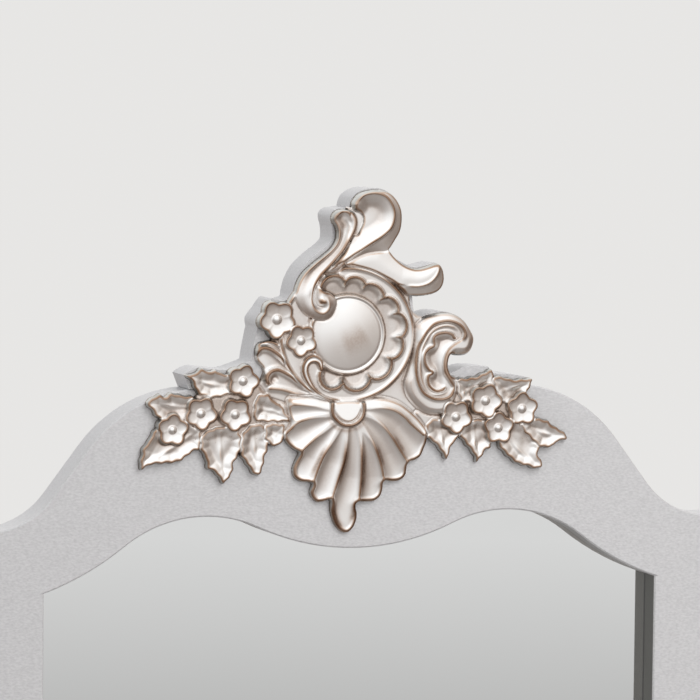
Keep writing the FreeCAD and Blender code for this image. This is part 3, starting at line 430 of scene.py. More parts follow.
# Ring with a scalloped inner bead, and the dome in its middle
MIDDLE = MIDDLE_X, MIDDLE_Z = -9.2, 136.4
RING = ellipse(MIDDLE, across=45.4, up=43.4, angles=around(36))
PEAKS = [(-19, 174), (-4.5, 173), (8.5, 168), (22.5, 157.5), (30.5, 141.5), (27.3, 125.5), (17.5, 110.5),
         (-1.8, 100.5), (-20, 101.6)]
CUSPS = [(-28, 165), (-11.3, 170.6), (2.5, 168.5), (15, 160), (24.6, 150), (26.8, 134.2), (20.3, 120.3),
         (6.6, 108.2), (-12.2, 105.2), (-27, 114)]


def arc(a, b, c, steps=8):
    """Points of the arc through three points."""
    (ax, az), (bx, bz), (cx, cz) = a, b, c
    det = 2 * (ax * (bz - cz) + bx * (cz - az) + cx * (az - bz))
    sa, sb, sc = ax * ax + az * az, bx * bx + bz * bz, cx * cx + cz * cz
    ox = (sa * (bz - cz) + sb * (cz - az) + sc * (az - bz)) / det
    oz = (sa * (cx - bx) + sb * (ax - cx) + sc * (bx - ax)) / det
    start, mid, end = [math.atan2(pz - oz, px - ox) for px, pz in (a, b, c)]
    sweep = (end - start) % FULL_TURN
    if (mid - start) % FULL_TURN > sweep:
        sweep -= FULL_TURN
    r = math.hypot(ax - ox, az - oz)
    return [(ox + r * math.cos(start + sweep * k / steps), oz + r * math.sin(start + sweep * k / steps))
            for k in range(steps + 1)]


SCALLOP = np.array([p for i, peak in enumerate(PEAKS) for p in arc(CUSPS[i], peak, CUSPS[i + 1])])
SCALLOP_LEFT = [(-34, 125), (-36, 150)]
WEB_LENGTH = 7.0
CUP_TOP, BAND_LEAST = 5.0, 3.6


def ring_face(d, x, z):
    """Cups inside the scalloped bead, with webs from its cusps, and a plain band with a rim outside it."""
    r = np.hypot(x - MIDDLE_X, z - MIDDLE_Z)
    bead = to_line(SCALLOP, x, z)[0]
    inner = within(np.concatenate([SCALLOP, SCALLOP_LEFT]), x, z)
    outer_rim = side(d, top=5.4, run=1.6) - step_down(d, depth=1.2, start=1.2, run=2.4)
    cup = CUP_TOP - step_down(inner, depth=2.6, start=0, run=5.0)
    cup = cup - step_down(-r, depth=0.6, start=-34, run=8)
    web = np.zeros(x.shape)
    for cx, cz in CUSPS[1:-1]:
        pull = WEB_LENGTH / math.hypot(MIDDLE_X - cx, MIDDLE_Z - cz)
        tail = np.array([(cx, cz), (cx + (MIDDLE_X - cx) * pull, cz + (MIDDLE_Z - cz) * pull)])
        dist, along = to_line(tail, x, z)
        web = np.maximum(web, bump(dist, amount=1.5, width=1.5) * (1 - along))
    body = np.where(inner > 0, cup + web, np.maximum(outer_rim, BAND_LEAST))
    return body + bump(bead, amount=2.2, width=1.05)


lay_outline("crest_scallop_ring", RING, ring_face)
DOME_R, BEAD_R, DISC_R = 21.8, 24.3, 25.8
DOME_FOOT, DOME_RISE = 4.8, 2.3
TROUGH, LIP, LIP_RUN = 4.0, 0.6, 1.5
DISC = ellipse(MIDDLE, DISC_R, DISC_R, around(30))


def dome_face(d, x, z):
    """A low cap in a trough with a bead round it."""
    r = np.hypot(x - MIDDLE_X, z - MIDDLE_Z)
    cap = DOME_FOOT + DOME_RISE * (1 - (r / DOME_R) ** 2)
    trough = TROUGH + LIP * ease((DOME_R - r) / LIP_RUN + 1)
    return np.where(r < DOME_R, cap, trough) + bump(r - BEAD_R, amount=1.5, width=0.8)


lay_outline("crest_dome", DISC, dome_face)

# Hook at the ring's foot: its line, then how wide it is along it
HOOK = [(-26.5, 114.5), (-27.7, 119.5), (-31.5, 121.5), (-35.5, 120), (-37.5, 115.5), (-36, 109.5),
        (-31.5, 102.5), (-24, 97), (-14, 94.8)]
HOOK_PLACES, HOOK_WIDTHS = [0, 0.25, 0.6, 1], [1.8, 3.0, 2.6, 0.8]


def hook_band():
    curve = smooth(HOOK, 6, closed=False)
    win = window(curve, margin=5.0)
    dist, along = to_line(curve, GX[win], GZ[win])
    d = np.interp(along, HOOK_PLACES, HOOK_WIDTHS) - dist
    lay("crest_scallop_ring", win, d, rim(d, top=6.6, run=1.4, drop=0.8, fall=1.2))


hook_band()

# Clasp and tongue over the head of the shell
TONGUE = [(-18.3, 94), (-18.3, 87.5), (-14.5, 82.3), (-8.8, 80.2), (-3.2, 82.3), (0.3, 87.5), (0.3, 94)]
CLASP = [(-19.5, 93), (-19.5, 87), (-17.5, 83.3), (-13.5, 80), (-8.8, 79), (-4, 80), (0, 83.3),
         (1.5, 87.5), (1.5, 92.5)]
TONGUE_FOOT, TONGUE_TILT, TONGUE_LEVEL = 4.5, 0.12, 86
TUBE_FOOT, TUBE_R = 5.5, 1.4
lay_outline("crest_clasp", TONGUE, lambda d, x, z: (
    TONGUE_FOOT + side(d, top=2.9, run=2.0) - TONGUE_TILT * (z - TONGUE_LEVEL)))


def clasp_tube():
    curve = smooth(CLASP, 6, closed=False)
    win = window(curve, margin=4.0)
    d = TUBE_R - to_line(curve, GX[win], GZ[win])[0]
    lay("crest_clasp", win, d, TUBE_FOOT + side(d, top=3.2, run=TUBE_R))


clasp_tube()

# Top plume
TOP_EDGE = [(-6.5, 220), (-3, 224.7), (2, 227), (8, 227.9), (15, 227.3), (20, 225), (24, 220.5),
            (26.5, 215), (27, 208.5), (26, 202), (23, 196.5), (17.5, 189)]
TOP_TAIL = [(10, 188), (3, 187), (-3.5, 184.5), (-10, 181), (-16.5, 178.5), (-21.5, 177)]
TOP_LEFT = [(-17.5, 183), (-12, 189), (-8, 195), (-5, 199), (-2.5, 199.5), (-0.5, 203), (1.3, 207.5),
            (1, 211), (-1, 213.5), (-4.5, 214.7), (-6.3, 217)]
TOP_CREASE = [(-4.3, 220), (-3, 222.3), (-0.5, 224.7), (3.5, 226), (9, 226), (14.5, 224), (18.5, 219.5),
              (20.5, 214), (20, 208), (17.5, 203), (12, 198.5), (5.5, 194.5), (-1, 190.5), (-7, 187),
              (-13, 182.8)]
TOP_FACE = TOP_CREASE + [(-22, 177), (-20, 186), (-8, 199), (-4, 203), (-3, 212), (-9, 216)]


def top_plume(d, x, z):
    """A dished face, and a flank between its crease and the edge."""
    face = swept_side(x, z, TOP_EDGE + TOP_TAIL[:-1], TOP_CREASE, TOP_FACE, top=7.2, dish=3.6, reach=10.0)
    return np.minimum(face, side(d, top=7.2, run=1.5))


TOP_WEB = [(-10, 216.5), (-5, 217), (-1, 214.5), (2.5, 209), (0, 202), (-4, 197.5), (-8, 196),
           (-4, 204), (-5, 212)]
lay_outline("crest_top_plume", TOP_WEB, lambda d, x, z: side(d, top=2.4, run=1.2))
TAIL_WEB = [(-27, 175), (-22, 181), (-14, 185), (-10, 181), (-17, 175)]
lay_outline("crest_top_plume", TAIL_WEB, lambda d, x, z: side(d, top=3.6, run=2.5))
lay_outline("crest_top_plume", TOP_EDGE + TOP_TAIL + TOP_LEFT, top_plume)
ridge("crest_top_plume", TOP_CREASE, amount=0.9, width=0.9)

# Scroll in the shape of an S: a trough with a broad right rim, and a round curl at its foot
S_LEFT = [(-18, 214), (-20, 210.5), (-19.5, 207.5), (-17.5, 204.5), (-16.5, 200), (-17.5, 195),
          (-21, 190.5), (-26, 186.5), (-32.5, 181.5), (-38.5, 176), (-42.5, 169.5), (-44.5, 162),
          (-43, 156), (-38.5, 150), (-31.5, 146), (-24.5, 145), (-19, 148), (-16.5, 154.5),
          (-17, 159.5), (-20.5, 163)]
S_RIGHT = [(-5, 213), (-3, 208.5), (-3.5, 203.5), (-5.3, 199.5), (-8, 195), (-12, 189), (-17, 183.5),
           (-21.5, 178.5), (-27, 173)]
S_GROOVE = [(-29.5, 168), (-31, 163.5), (-31.2, 158.5), (-29.3, 154.8), (-26.5, 153.8)]
S_HEAD = [(-18, 214), (-14, 215.5), (-9, 215.3), (-5, 213)]
S_FOOT = [(-25, 164.5), (-28.5, 167.5)]
S_EYE = [(-27, 157.6), (-25.8, 157.2)]
BEND_FROM, BEND_RUN = 0.42, 0.16
HEAD_LEFT, HEAD_RIGHT = 0.1, 0.72


def s_face(d, x, z):
    """The trough's profile, which turns into a round one on the way down to the curl."""
    t, along = across(x, z, S_LEFT, S_RIGHT + S_GROOVE)
    band = profile(t, [(0, 5.2), (0.13, 5.5), (0.4, 4.5), (0.62, 5.6), (0.8, 6.9), (1, 5.6)])
    bend = profile(t, [(0, 4.8), (0.2, 6.0), (0.45, 7.0), (0.7, 7.1), (1, 5.2)])
    body = band + (bend - band) * ease((along - BEND_FROM) / BEND_RUN)
    head = bump(line_distance(S_HEAD, x, z), amount=2.2, width=3.2)
    return np.minimum(side(d, top=7.2, run=1.5), body + head * (t > HEAD_LEFT) * (t < HEAD_RIGHT))


lay_outline("crest_s_scroll", S_LEFT + S_FOOT + S_RIGHT[::-1] + S_HEAD[1:-1][::-1], s_face)
S_RIM = [(-12, 210), (-9.1, 206.3), (-9.7, 201.3), (-12.2, 193.7), (-16.8, 186.2), (-24.7, 177.4),
         (-31.2, 169.9), (-33, 164), (-33.6, 157.5), (-31.2, 151.8), (-26, 150), (-22.3, 153.6),
         (-22.8, 158.6), (-26, 161)]
ridge("crest_s_scroll", S_RIM, amount=0.6, width=0.8)
ridge("crest_s_scroll", S_GROOVE, amount=-0.8, width=1.3, fade=0.2)
ridge("crest_s_scroll", S_EYE, amount=1.3, width=2.0, fade=0)

# Flowers, each with a rim, folds between the petals and a bead: piece, middle, radius, turn in degrees
FLOWERS = [
    ("crest_upper_flowers", -56, 146.5, 13.0, 48), ("crest_upper_flowers", -40, 133, 11.0, 48),
    ("crest_left_flowers", -105.5, 88, 11.3, 60), ("crest_left_flowers", -78, 108, 11.3, 0),
    ("crest_left_flowers", -83, 87, 11.3, 48), ("crest_left_flowers", -124, 78, 11.0, 13),
    ("crest_right_flowers", 64.5, 83, 11.5, 56), ("crest_right_flowers", 84.5, 93, 11.8, -3),
    ("crest_right_flowers", 109.5, 87.5, 11.5, 18), ("crest_right_flowers", 93.5, 75.5, 11.0, 18),
]
PETALS = 5
NOTCH, SWELL = 0.8, 0.2
BOWL_FOOT, BOWL_RISE, PETAL_FOLD = 4.3, 2.3, 0.12
FOLD_POWER, FOLD_FROM, FOLD_RUN = 6, 0.2, 0.3
EYE_SHARE, EYE_FOOT, EYE_RISE, EYE_CLEAR = 0.22, 4.5, 1.9, 1.2
UPPER_SHADE, SHADE_REACH, PETAL_RIM = 0.35, 0.9, 1.5


def petal_reach(angle):
    """Broad round lobes with narrow notches, as a share of the flower's radius."""
    return NOTCH + SWELL * np.abs(np.cos(PETALS / 2 * angle)) ** 1.2


for node, fx, fz, radius, turn in FLOWERS:
    turn = math.radians(turn)
    round_angles = around(90)
    reach = radius * petal_reach(round_angles - turn)
    curve = np.stack([fx + reach * np.cos(round_angles), fz + reach * np.sin(round_angles)], axis=1)
    win = window(curve, margin=2.0)
    x, z = GX[win], GZ[win]
    d = within(curve, x, z)
    r = np.hypot(x - fx, z - fz)
    angle = np.arctan2(z - fz, x - fx) - turn
    fold = PETAL_FOLD * np.clip(-np.cos(PETALS * angle), 0, 1) ** FOLD_POWER
    fold = fold * ease((r / radius - FOLD_FROM) / FOLD_RUN)
    bowl = BOWL_FOOT + BOWL_RISE * (r / radius) ** 2 + fold
    face = np.minimum(side(d, top=7.4, run=1.4), bowl + bump(d - 1.3, amount=0.6, width=0.8))
    eye = EYE_SHARE * radius
    bead = EYE_FOOT + EYE_RISE * np.sqrt(np.clip(1 - (r / eye) ** 2, 0, 1))
    lay(node, win, d, np.where(r < eye, np.maximum(bead, face), face))
    plain[win] = np.where(r < EYE_CLEAR * eye, 0, plain[win])
    # Painted shade in the upper part of each flower's bowl, darker towards the top
    upper = ease((z - fz) / (SHADE_REACH * radius)) * (d > PETAL_RIM) * (r > eye)
    bowl_shade[win] = np.where(d > 0, UPPER_SHADE * upper, bowl_shade[win])


# Bare edges for the copper, and painted shade in hollows, in creases and on steep flanks, from how far each
# point stands out from its surroundings and how steep it is
def blur(field, width):
    """A field averaged over a bell of the given width."""
    reach = int(3 * width / STEP) + 1
    k = np.exp(-0.5 * (np.arange(-reach, reach + 1) * STEP / width) ** 2)
    k /= k.sum()
    out = np.apply_along_axis(lambda row: np.convolve(row, k, mode="same"), 0, field)
    return np.apply_along_axis(lambda row: np.convolve(row, k, mode="same"), 1, out)


SAME_HEIGHT, TALLEST, THINNEST = 0.02, 9.8, 0.05
STEEP_FROM, STEEP_RUN = 1.3, 1.2
COPPER_FROM, EDGE_RISE, EDGE_LEAST = 2.2, 0.25, 0.33
HOLLOW_DEPTH, MOST_HOLLOW = 3.0, 0.35
CREASE_DEPTH, CREASE_LEAST, MOST_CREASE = 1.2, 0.3, 0.8
LEAST_BETWEEN = 0.55
between_leaves = np.abs(height - under_leaves) < SAME_HEIGHT
height = np.clip(height, 0, TALLEST)
height = np.where(label > 0, np.maximum(blur(height, width=0.35), THINNEST), height)
rise_z, rise_x = np.gradient(blur(height, width=0.3), STEP)
# How steep each point is: steep flanks get painted shade in grey and no copper
flank = ease((np.hypot(rise_x, rise_z) - STEEP_FROM) / STEEP_RUN)
proud = np.clip((height - blur(height, width=0.85)) / EDGE_RISE - EDGE_LEAST, 0, 1)
proud = proud * (height > COPPER_FROM) * (1 - flank) * plain
# Painted shade in broad hollows and in creases where pieces meet
hollow = np.clip((blur(height, width=4.0) - height) / HOLLOW_DEPTH, 0, MOST_HOLLOW)
crease = np.clip((blur(height, width=1.4) - height) / CREASE_DEPTH - CREASE_LEAST, 0, 1)
painted_shade = np.clip(np.minimum(crease, MOST_CREASE) + hollow, 0, 1)
# Painted shade on the bare ground between the leaves, and in the flowers' bowls
painted_shade = np.clip(np.where(between_leaves, np.maximum(painted_shade, LEAST_BETWEEN), painted_shade) + bowl_shade, 0, 1)

# Edges that keep their silver: a line and how wide
BEAD_ARC = ellipse(MIDDLE, BEAD_R, BEAD_R, np.arange(-2.2, 2.2, 0.2))
KEPT = [(C_OUTER, 2.0), (TOP_EDGE, 1.6), (SIDE_EDGE, 1.6), (S_LEFT, 1.6), (SHELL[:5], 1.5), (BEAD_ARC, 1.2)]
for points, width in KEPT:
    curve = smooth(points, 5, closed=False)
    win = window(curve, margin=2.5 * width)
    proud[win] *= 1 - bump(to_line(curve, GX[win], GZ[win])[0], amount=0.9, width=width)

# Painted shade in brown along lines, or taken out along them where the strength is below nought: a line,
# strength, width
SHADE_LINES = [
    ([(-14, 129), (-4, 133), (4, 138)], 0.46, 8.0),
    ([(-8.6, 67), (-10, 58), (-12.3, 48), (-14.8, 40)], 1.0, 2.0),
    ([(2.0, 65), (2.4, 54), (2.2, 44), (1.4, 35)], 1.0, 2.1), ([(11, 66), (14, 58), (16, 52)], 0.8, 1.8),
    ([(22.5, 72), (26.5, 66), (30, 61)], 0.7, 1.8), ([(-23, 66), (-28, 56), (-32, 47)], 0.7, 1.5),
    ([(-17, 30), (-16, 23), (-13.5, 16.5), (-10, 13)], 0.95, 2.2),
    ([(-2.8, 30), (-2.6, 24), (-4.5, 17)], 0.85, 2.0),
    ([(-21.5, 88), (-20.5, 82), (-16, 77.3), (-9, 75.6), (-2, 77.3), (2.5, 82), (3.5, 88)], 0.5, 1.6),
    ([(-16, 207), (-13.5, 200), (-15, 194), (-19, 188), (-28, 180.5), (-35, 174), (-39.5, 167), (-41, 160)],
     0.45, 2.4),
    ([(-41, 162), (-38.5, 154), (-32, 148.5), (-24.5, 147.5), (-19.5, 151), (-18.8, 157)], 0.5, 2.4),
    ([(-17, 210), (-13.5, 207), (-11.5, 203)], 0.7, 2.6),
    ([(-6, 203), (-10, 193.5), (-16, 185), (-24, 177)], -0.5, 1.5),
    ([(22, 222), (24.5, 212), (23.5, 203), (17, 195), (8, 190)], 0.2, 3.0),
    ([(46, 164.5), (52, 168.5), (53.8, 175)], 0.3, 2.6), ([(-58, 107.5), (-56.5, 109)], 0.8, 1.8),
    ([(33, 112), (34, 102), (39, 93), (47, 88.5)], 0.3, 3.0), ([(70, 142), (74, 134), (72, 127)], 0.3, 3.0),
    ([(-9, 217), (-4.5, 215), (-1, 209), (-3, 200)], -1.0, 2.5), (S_GROOVE, -0.9, 2.0),
    ([(-18, 181), (0, 180.5), (14, 176), (26, 168), (31, 162)], -0.6, 1.8),
    ([(-24, 162), (-20.5, 158), (-20.5, 153)], 0.55, 1.6),
    ([(-40, 100), (-30, 98), (-22, 95)], -0.8, 4.0), ([(6, 95), (20, 94), (31, 90), (40, 82)], -0.8, 5.0),
    (ellipse(MIDDLE, 41, 40, np.arange(-1.7, 1.8, 0.25)), -0.7, 2.4),
]
END_SHARE, END_RUN = 0.35, 0.3
for points, amount, width in SHADE_LINES:
    curve = smooth(points, 5, closed=False)
    win = window(curve, margin=2.5 * width)
    dist, along = to_line(curve, GX[win], GZ[win])
    ends = ease(np.minimum(along, 1 - along) / END_RUN)
    spot = bump(dist, abs(amount), width) * (END_SHARE + (1 - END_SHARE) * ends)
    painted_shade[win] = np.maximum(painted_shade[win], spot) if amount > 0 else painted_shade[win] * (1 - spot)

# Snap the outer edge of the castings to their outlines
SNAP_REACH, LEAST_SLOPE = 1.2, 0.2
gz, gx = np.gradient(inside, STEP)
norm = np.maximum(gx ** 2 + gz ** 2, LEAST_SLOPE)
near_edge = (label == 0) & (inside > -SNAP_REACH)
PX = np.where(near_edge, GX - inside * gx / norm, GX)
PZ = np.where(near_edge, GZ - inside * gz / norm, GZ)

# Castings
OVERHANG = 6.0


def add_object(name, data):
    """A new object in the scene."""
    obj = bpy.data.objects.new(name, data)
    bpy.context.scene.collection.objects.link(obj)
    return obj


def grid_points(index, depth):
    """Places of grid points in metres, at depths in millimetres."""
    return np.stack([PX.ravel()[index], depth, PZ.ravel()[index] + DIP_Z], axis=1) / MM_PER_M


def casting(node):
    """A sheet over one piece of the height map, with a flat back near its outer edge."""
    corner = np.stack([label[:-1, :-1], label[:-1, 1:], label[1:, 1:], label[1:, :-1]])
    rows, cols = np.argwhere(corner.max(axis=0) == NODES.index(node)).T
    wide = label.shape[1]
    first = rows * wide + cols
    quads = np.stack([first, first + 1, first + wide + 1, first + wide], axis=1)
    edge = quads[inside.ravel()[quads].min(axis=1) < OVERHANG]
    used, index = np.unique(quads.ravel(), return_inverse=True)
    behind, back = np.unique(edge.ravel(), return_inverse=True)
    verts = np.concatenate([grid_points(used, FRONT - height.ravel()[used]),
                            grid_points(behind, np.full(len(behind), FRONT))])
    faces = np.concatenate([index.reshape(quads.shape), back.reshape(edge.shape)[:, ::-1] + len(used)])
    mesh = bpy.data.meshes.new(node + "_look")
    mesh.from_pydata(verts.tolist(), [], faces.tolist())
    mesh.polygons.foreach_set("use_smooth", [True] * len(mesh.polygons))
    for name, field in (("proud", proud), ("painted_shade", painted_shade), ("flank", flank)):
        shade = mesh.attributes.new(name, "FLOAT", "POINT")
        shade.data.foreach_set("value", field.ravel()[np.concatenate([used, behind])].astype(np.float32))
    mesh.update()
    obj = add_object(node + "_look", mesh)
    obj.data.materials.append(crest_silver)
    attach(obj, "frame")
    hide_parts(node)


# Shader nodes
def material(name, color, metallic, roughness):
    """A new material, its node tree and its shader."""
    look = bpy.data.materials.new(name)
    look.use_nodes = True
    shader = look.node_tree.nodes["Principled BSDF"]
    shader.inputs["Base Color"].default_value = (*color, 1)
    shader.inputs["Metallic"].default_value = metallic
    shader.inputs["Roughness"].default_value = roughness
    return look, look.node_tree, shader


def own_place(tree):
    """The object's own coordinates."""
    return tree.nodes.new("ShaderNodeTexCoord").outputs["Object"]


def noise(tree, vector, scale, detail=2):
    node = tree.nodes.new("ShaderNodeTexNoise")
    node.inputs["Scale"].default_value = scale
    node.inputs["Detail"].default_value = detail
    tree.links.new(vector, node.inputs["Vector"])
    return node.outputs["Fac"]


def map_range(tree, value, low, high, to_low=0.0, to_high=1.0):
    """A value carried from one range to another."""
    node = tree.nodes.new("ShaderNodeMapRange")
    node.inputs["From Min"].default_value = low
    node.inputs["From Max"].default_value = high
    node.inputs["To Min"].default_value = to_low
    node.inputs["To Max"].default_value = to_high
    tree.links.new(value, node.inputs["Value"])
    return node.outputs["Result"]


def math_node(tree, operation, a, b=None):
    """A math node on one or two terms, each a socket or a number."""
    node = tree.nodes.new("ShaderNodeMath")
    node.operation = operation
    for socket, value in zip(node.inputs, (a, b)):
        if isinstance(value, (int, float)):
            socket.default_value = value
        elif value is not None:
            tree.links.new(value, socket)
    return node.outputs["Value"]


def ramp(tree, source, stops):
    """A colour from a value, through (place, colour) stops."""
    node = tree.nodes.new("ShaderNodeValToRGB")
    elements = node.color_ramp.elements
    for i in (0, -1):
        elements[i].position = stops[i][0]
        elements[i].color = (*stops[i][1], 1)
    for place, color in stops[1:-1]:
        elements.new(place).color = (*color, 1)
    tree.links.new(source, node.inputs["Fac"])
    return node.outputs["Color"]


def blend(tree, a, b, fac=1.0, kind="MIX"):
    """One colour mixed into another. The second colour and the share may be plain values."""
    node = tree.nodes.new("ShaderNodeMix")
    node.data_type = "RGBA"
    node.blend_type = kind
    tree.links.new(a, node.inputs["A"])
    if isinstance(b, tuple):
        node.inputs["B"].default_value = (*b, 1)
    else:
        tree.links.new(b, node.inputs["B"])
    if isinstance(fac, float):
        node.inputs["Factor"].default_value = fac
    else:
        tree.links.new(fac, node.inputs["Factor"])
    return node.outputs["Result"]


def grain(tree, shader, scale, strength, distance=0.0004, stretch=(1, 1, 1)):
    """Fine bumps in the object's own coordinates. Returns the noise behind them."""
    mapping = tree.nodes.new("ShaderNodeMapping")
    mapping.inputs["Scale"].default_value = stretch
    tree.links.new(own_place(tree), mapping.inputs["Vector"])
    rough = noise(tree, mapping.outputs["Vector"], scale, detail=3)
    relief = tree.nodes.new("ShaderNodeBump")
    relief.inputs["Strength"].default_value = strength
    relief.inputs["Distance"].default_value = distance
    tree.links.new(rough, relief.inputs["Height"])
    tree.links.new(relief.outputs["Normal"], shader.inputs["Normal"])
    return rough


# Materials: colour stops, where the painted shade lies on the painted boards in metres, and reaches of the
# noises
PAINT = [(0.3, (0.57, 0.565, 0.57)), (0.7, (0.68, 0.675, 0.68))]
INNER_EDGE_SHADE, GLASS_GAP_SHADOW = (0.11, 0.11, 0.1), (0.02, 0.02, 0.018)
COPPER = [(0.0, (0.92, 0.915, 0.91)), (0.35, (0.68, 0.55, 0.46)), (1.0, (0.3, 0.18, 0.115))]
# Painted shade: brown in hollows, creases and along lines, grey on steep flanks
SHADE_BROWN = [(0.0, (1.0, 1.0, 1.0)), (0.5, (0.66, 0.58, 0.53)), (1.0, (0.22, 0.16, 0.125))]
FLANK_SHADE = [(0.0, (1.0, 1.0, 1.0)), (1.0, (0.4, 0.41, 0.39))]
SILVERING = [(0.3, (0.943, 0.95, 0.949)), (0.7, (0.955, 0.959, 0.959))]
OPENING_HALF = -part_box("left_stile")[1][0]
OPENING_TOP = 0.6135
GLASS_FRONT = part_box("mirror_glass")[0][1]
BOARD_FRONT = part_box("left_stile")[0][1]
FADE_FROM, FADE_TO, SLACK = 0.0006, 0.0016, 0.0005
WORN_LOW, WORN_HIGH = 0.35, 0.65
MOTTLE_LOW, MOTTLE_HIGH, ROUGH_SPREAD = 0.3, 0.7, 0.12


def silvered_boards():
    """Fine-grained silver paint, with painted shade on the inner edges that face across the glass and a
    painted shadow by the glass.
    """
    look, tree, shader = material("silver_paint", (0.6, 0.6, 0.605), metallic=0.2, roughness=0.45)
    rough = grain(tree, shader, scale=900, strength=0.24, distance=0.0005, stretch=(0.5, 1, 1))
    place = tree.nodes.new("ShaderNodeSeparateXYZ")
    tree.links.new(own_place(tree), place.inputs["Vector"])
    facing = tree.nodes.new("ShaderNodeSeparateXYZ")
    geometry = tree.nodes.new("ShaderNodeNewGeometry")
    tree.links.new(geometry.outputs["Normal"], facing.inputs["Vector"])
    # Painted shade on the inner edges: as much as a face turns across the opening, behind the front, within
    # the opening and under its top
    from_middle = math_node(tree, "ABSOLUTE", place.outputs["X"])
    inner = math_node(tree, "ABSOLUTE", facing.outputs["X"])
    for limit in (map_range(tree, place.outputs["Y"], BOARD_FRONT + FADE_FROM, BOARD_FRONT + FADE_TO),
                  math_node(tree, "LESS_THAN", from_middle, OPENING_HALF + SLACK),
                  math_node(tree, "LESS_THAN", place.outputs["Z"], OPENING_TOP)):
        inner = math_node(tree, "MULTIPLY", inner, limit)
    # Painted shadow in the gap by the glass, on those inner edges
    glass_gap_shade = map_range(tree, place.outputs["Y"], GLASS_FRONT - FADE_TO, GLASS_FRONT - FADE_FROM)
    color = blend(tree, ramp(tree, rough, PAINT), INNER_EDGE_SHADE, inner)
    color = blend(tree, color, GLASS_GAP_SHADOW, math_node(tree, "MULTIPLY", inner, glass_gap_shade))
    tree.links.new(color, shader.inputs["Base Color"])
    return look


def worn_and_shaded_silver():
    """Silver leaf with copper on proud edges, painted shade in brown in the hollows and painted shade in
    grey on the flanks.
    """
    look, tree, shader = material("crest_silver", (0.8, 0.78, 0.76), metallic=1.0, roughness=0.3)
    grain(tree, shader, scale=420, strength=0.05)
    speckle = noise(tree, own_place(tree), scale=750)
    patches = noise(tree, own_place(tree), scale=70)

    def wear_and_shade(name, broken_by, low, high):
        """A field of the castings, broken up by a noise; it carries the copper wear and both painted
        shades.
        """
        field = tree.nodes.new("ShaderNodeAttribute")
        field.attribute_name = name
        share = map_range(tree, broken_by, WORN_LOW, WORN_HIGH, low, high)
        return math_node(tree, "MULTIPLY", field.outputs["Fac"], share)

    tint = ramp(tree, wear_and_shade("proud", patches, low=0.75, high=1.0), COPPER)
    tint = blend(tree, tint, ramp(tree, wear_and_shade("painted_shade", speckle, low=0.84, high=1.06), SHADE_BROWN), kind="MULTIPLY")
    tint = blend(tree, tint, ramp(tree, wear_and_shade("flank", patches, low=0.7, high=1.0), FLANK_SHADE), kind="MULTIPLY")
    tree.links.new(tint, shader.inputs["Base Color"])
    return look


def silvered_glass():
    """A clear mirror with faint clouds in its silvering."""
    look, tree, shader = material("mirror_silvered", (0.95, 0.955, 0.955), metallic=1.0, roughness=0.0)
    cloud = noise(tree, own_place(tree), scale=6)
    tree.links.new(ramp(tree, cloud, SILVERING), shader.inputs["Base Color"])
    return look


def mottled(name, dark, light, metallic, roughness, scale, strength, stretch=(1, 1, 1)):
    """A colour, a roughness and fine bumps that vary together."""
    look, tree, shader = material(name, light, metallic, roughness)
    rough = grain(tree, shader, scale, strength, stretch=stretch)
    color = ramp(tree, rough, [(MOTTLE_LOW, dark), (MOTTLE_HIGH, light)])
    tree.links.new(color, shader.inputs["Base Color"])
    varied = map_range(tree, rough, 0.0, 1.0, roughness - ROUGH_SPREAD, roughness + ROUGH_SPREAD)
    tree.links.new(varied, shader.inputs["Roughness"])
    return look


silver_paint = silvered_boards()
crest_silver = worn_and_shaded_silver()
LOOKS = {
    "silver_paint": silver_paint,
    "crest_silver": crest_silver,
    "mirror_silvered": silvered_glass(),
    "hardboard": mottled("hardboard", dark=(0.19, 0.115, 0.06), light=(0.33, 0.21, 0.12), metallic=0.0,
                         roughness=0.62, scale=700, strength=0.35, stretch=(1, 1, 0.6)),
    "tenon_wood": mottled("tenon_wood", dark=(0.46, 0.31, 0.17), light=(0.66, 0.5, 0.32), metallic=0.0,
                          roughness=0.6, scale=300, strength=0.3, stretch=(0.08, 1, 1)),
    "hardware_brass": mottled("hardware_brass", dark=(0.66, 0.47, 0.19), light=(0.8, 0.62, 0.31),
                              metallic=1.0, roughness=0.3, scale=900, strength=0.08, stretch=(1, 0.2, 1)),
    "hardware_steel": mottled("hardware_steel", dark=(0.52, 0.52, 0.53), light=(0.68, 0.68, 0.69),
                              metallic=1.0, roughness=0.34, scale=900, strength=0.08, stretch=(1, 0.2, 1)),
    "bumper_rubber": mottled("bumper_rubber", dark=(0.022, 0.022, 0.022), light=(0.045, 0.044, 0.042),
                             metallic=0.0, roughness=0.72, scale=1200, strength=0.3),
}
for part in frame["record"]["subparts"]:
    obj = frame["nodes"][part["node"]]
    obj.data.materials.clear()
    obj.data.materials.append(LOOKS[part["material_slot"]])

for node in NODES[1:]:
    casting(node)

# Curved boards
FLAT, SHARP = math.radians(0.5), math.radians(32)
FACE_ON = 0.9


def eased_board(node):
    """A copy of a curved board, shaded smooth round its edge and flat on its two faces."""
    work = bmesh.new()
    work.from_mesh(frame["nodes"][node].data)
    bmesh.ops.remove_doubles(work, verts=work.verts, dist=TINY)
    bmesh.ops.dissolve_limit(work, angle_limit=FLAT, verts=work.verts, edges=work.edges)
    mesh = bpy.data.meshes.new(node + "_look")
    work.to_mesh(mesh)
    work.free()
    mesh.set_sharp_from_angle(angle=SHARP)
    mesh.polygons.foreach_set("use_smooth", [abs(p.normal.y) < FACE_ON for p in mesh.polygons])
    obj = add_object(node + "_look", mesh)
    mesh.materials.append(silver_paint)
    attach(obj, "frame")
    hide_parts(node)


for node in ("crest_backboard", "top_rail"):
    eased_board(node)

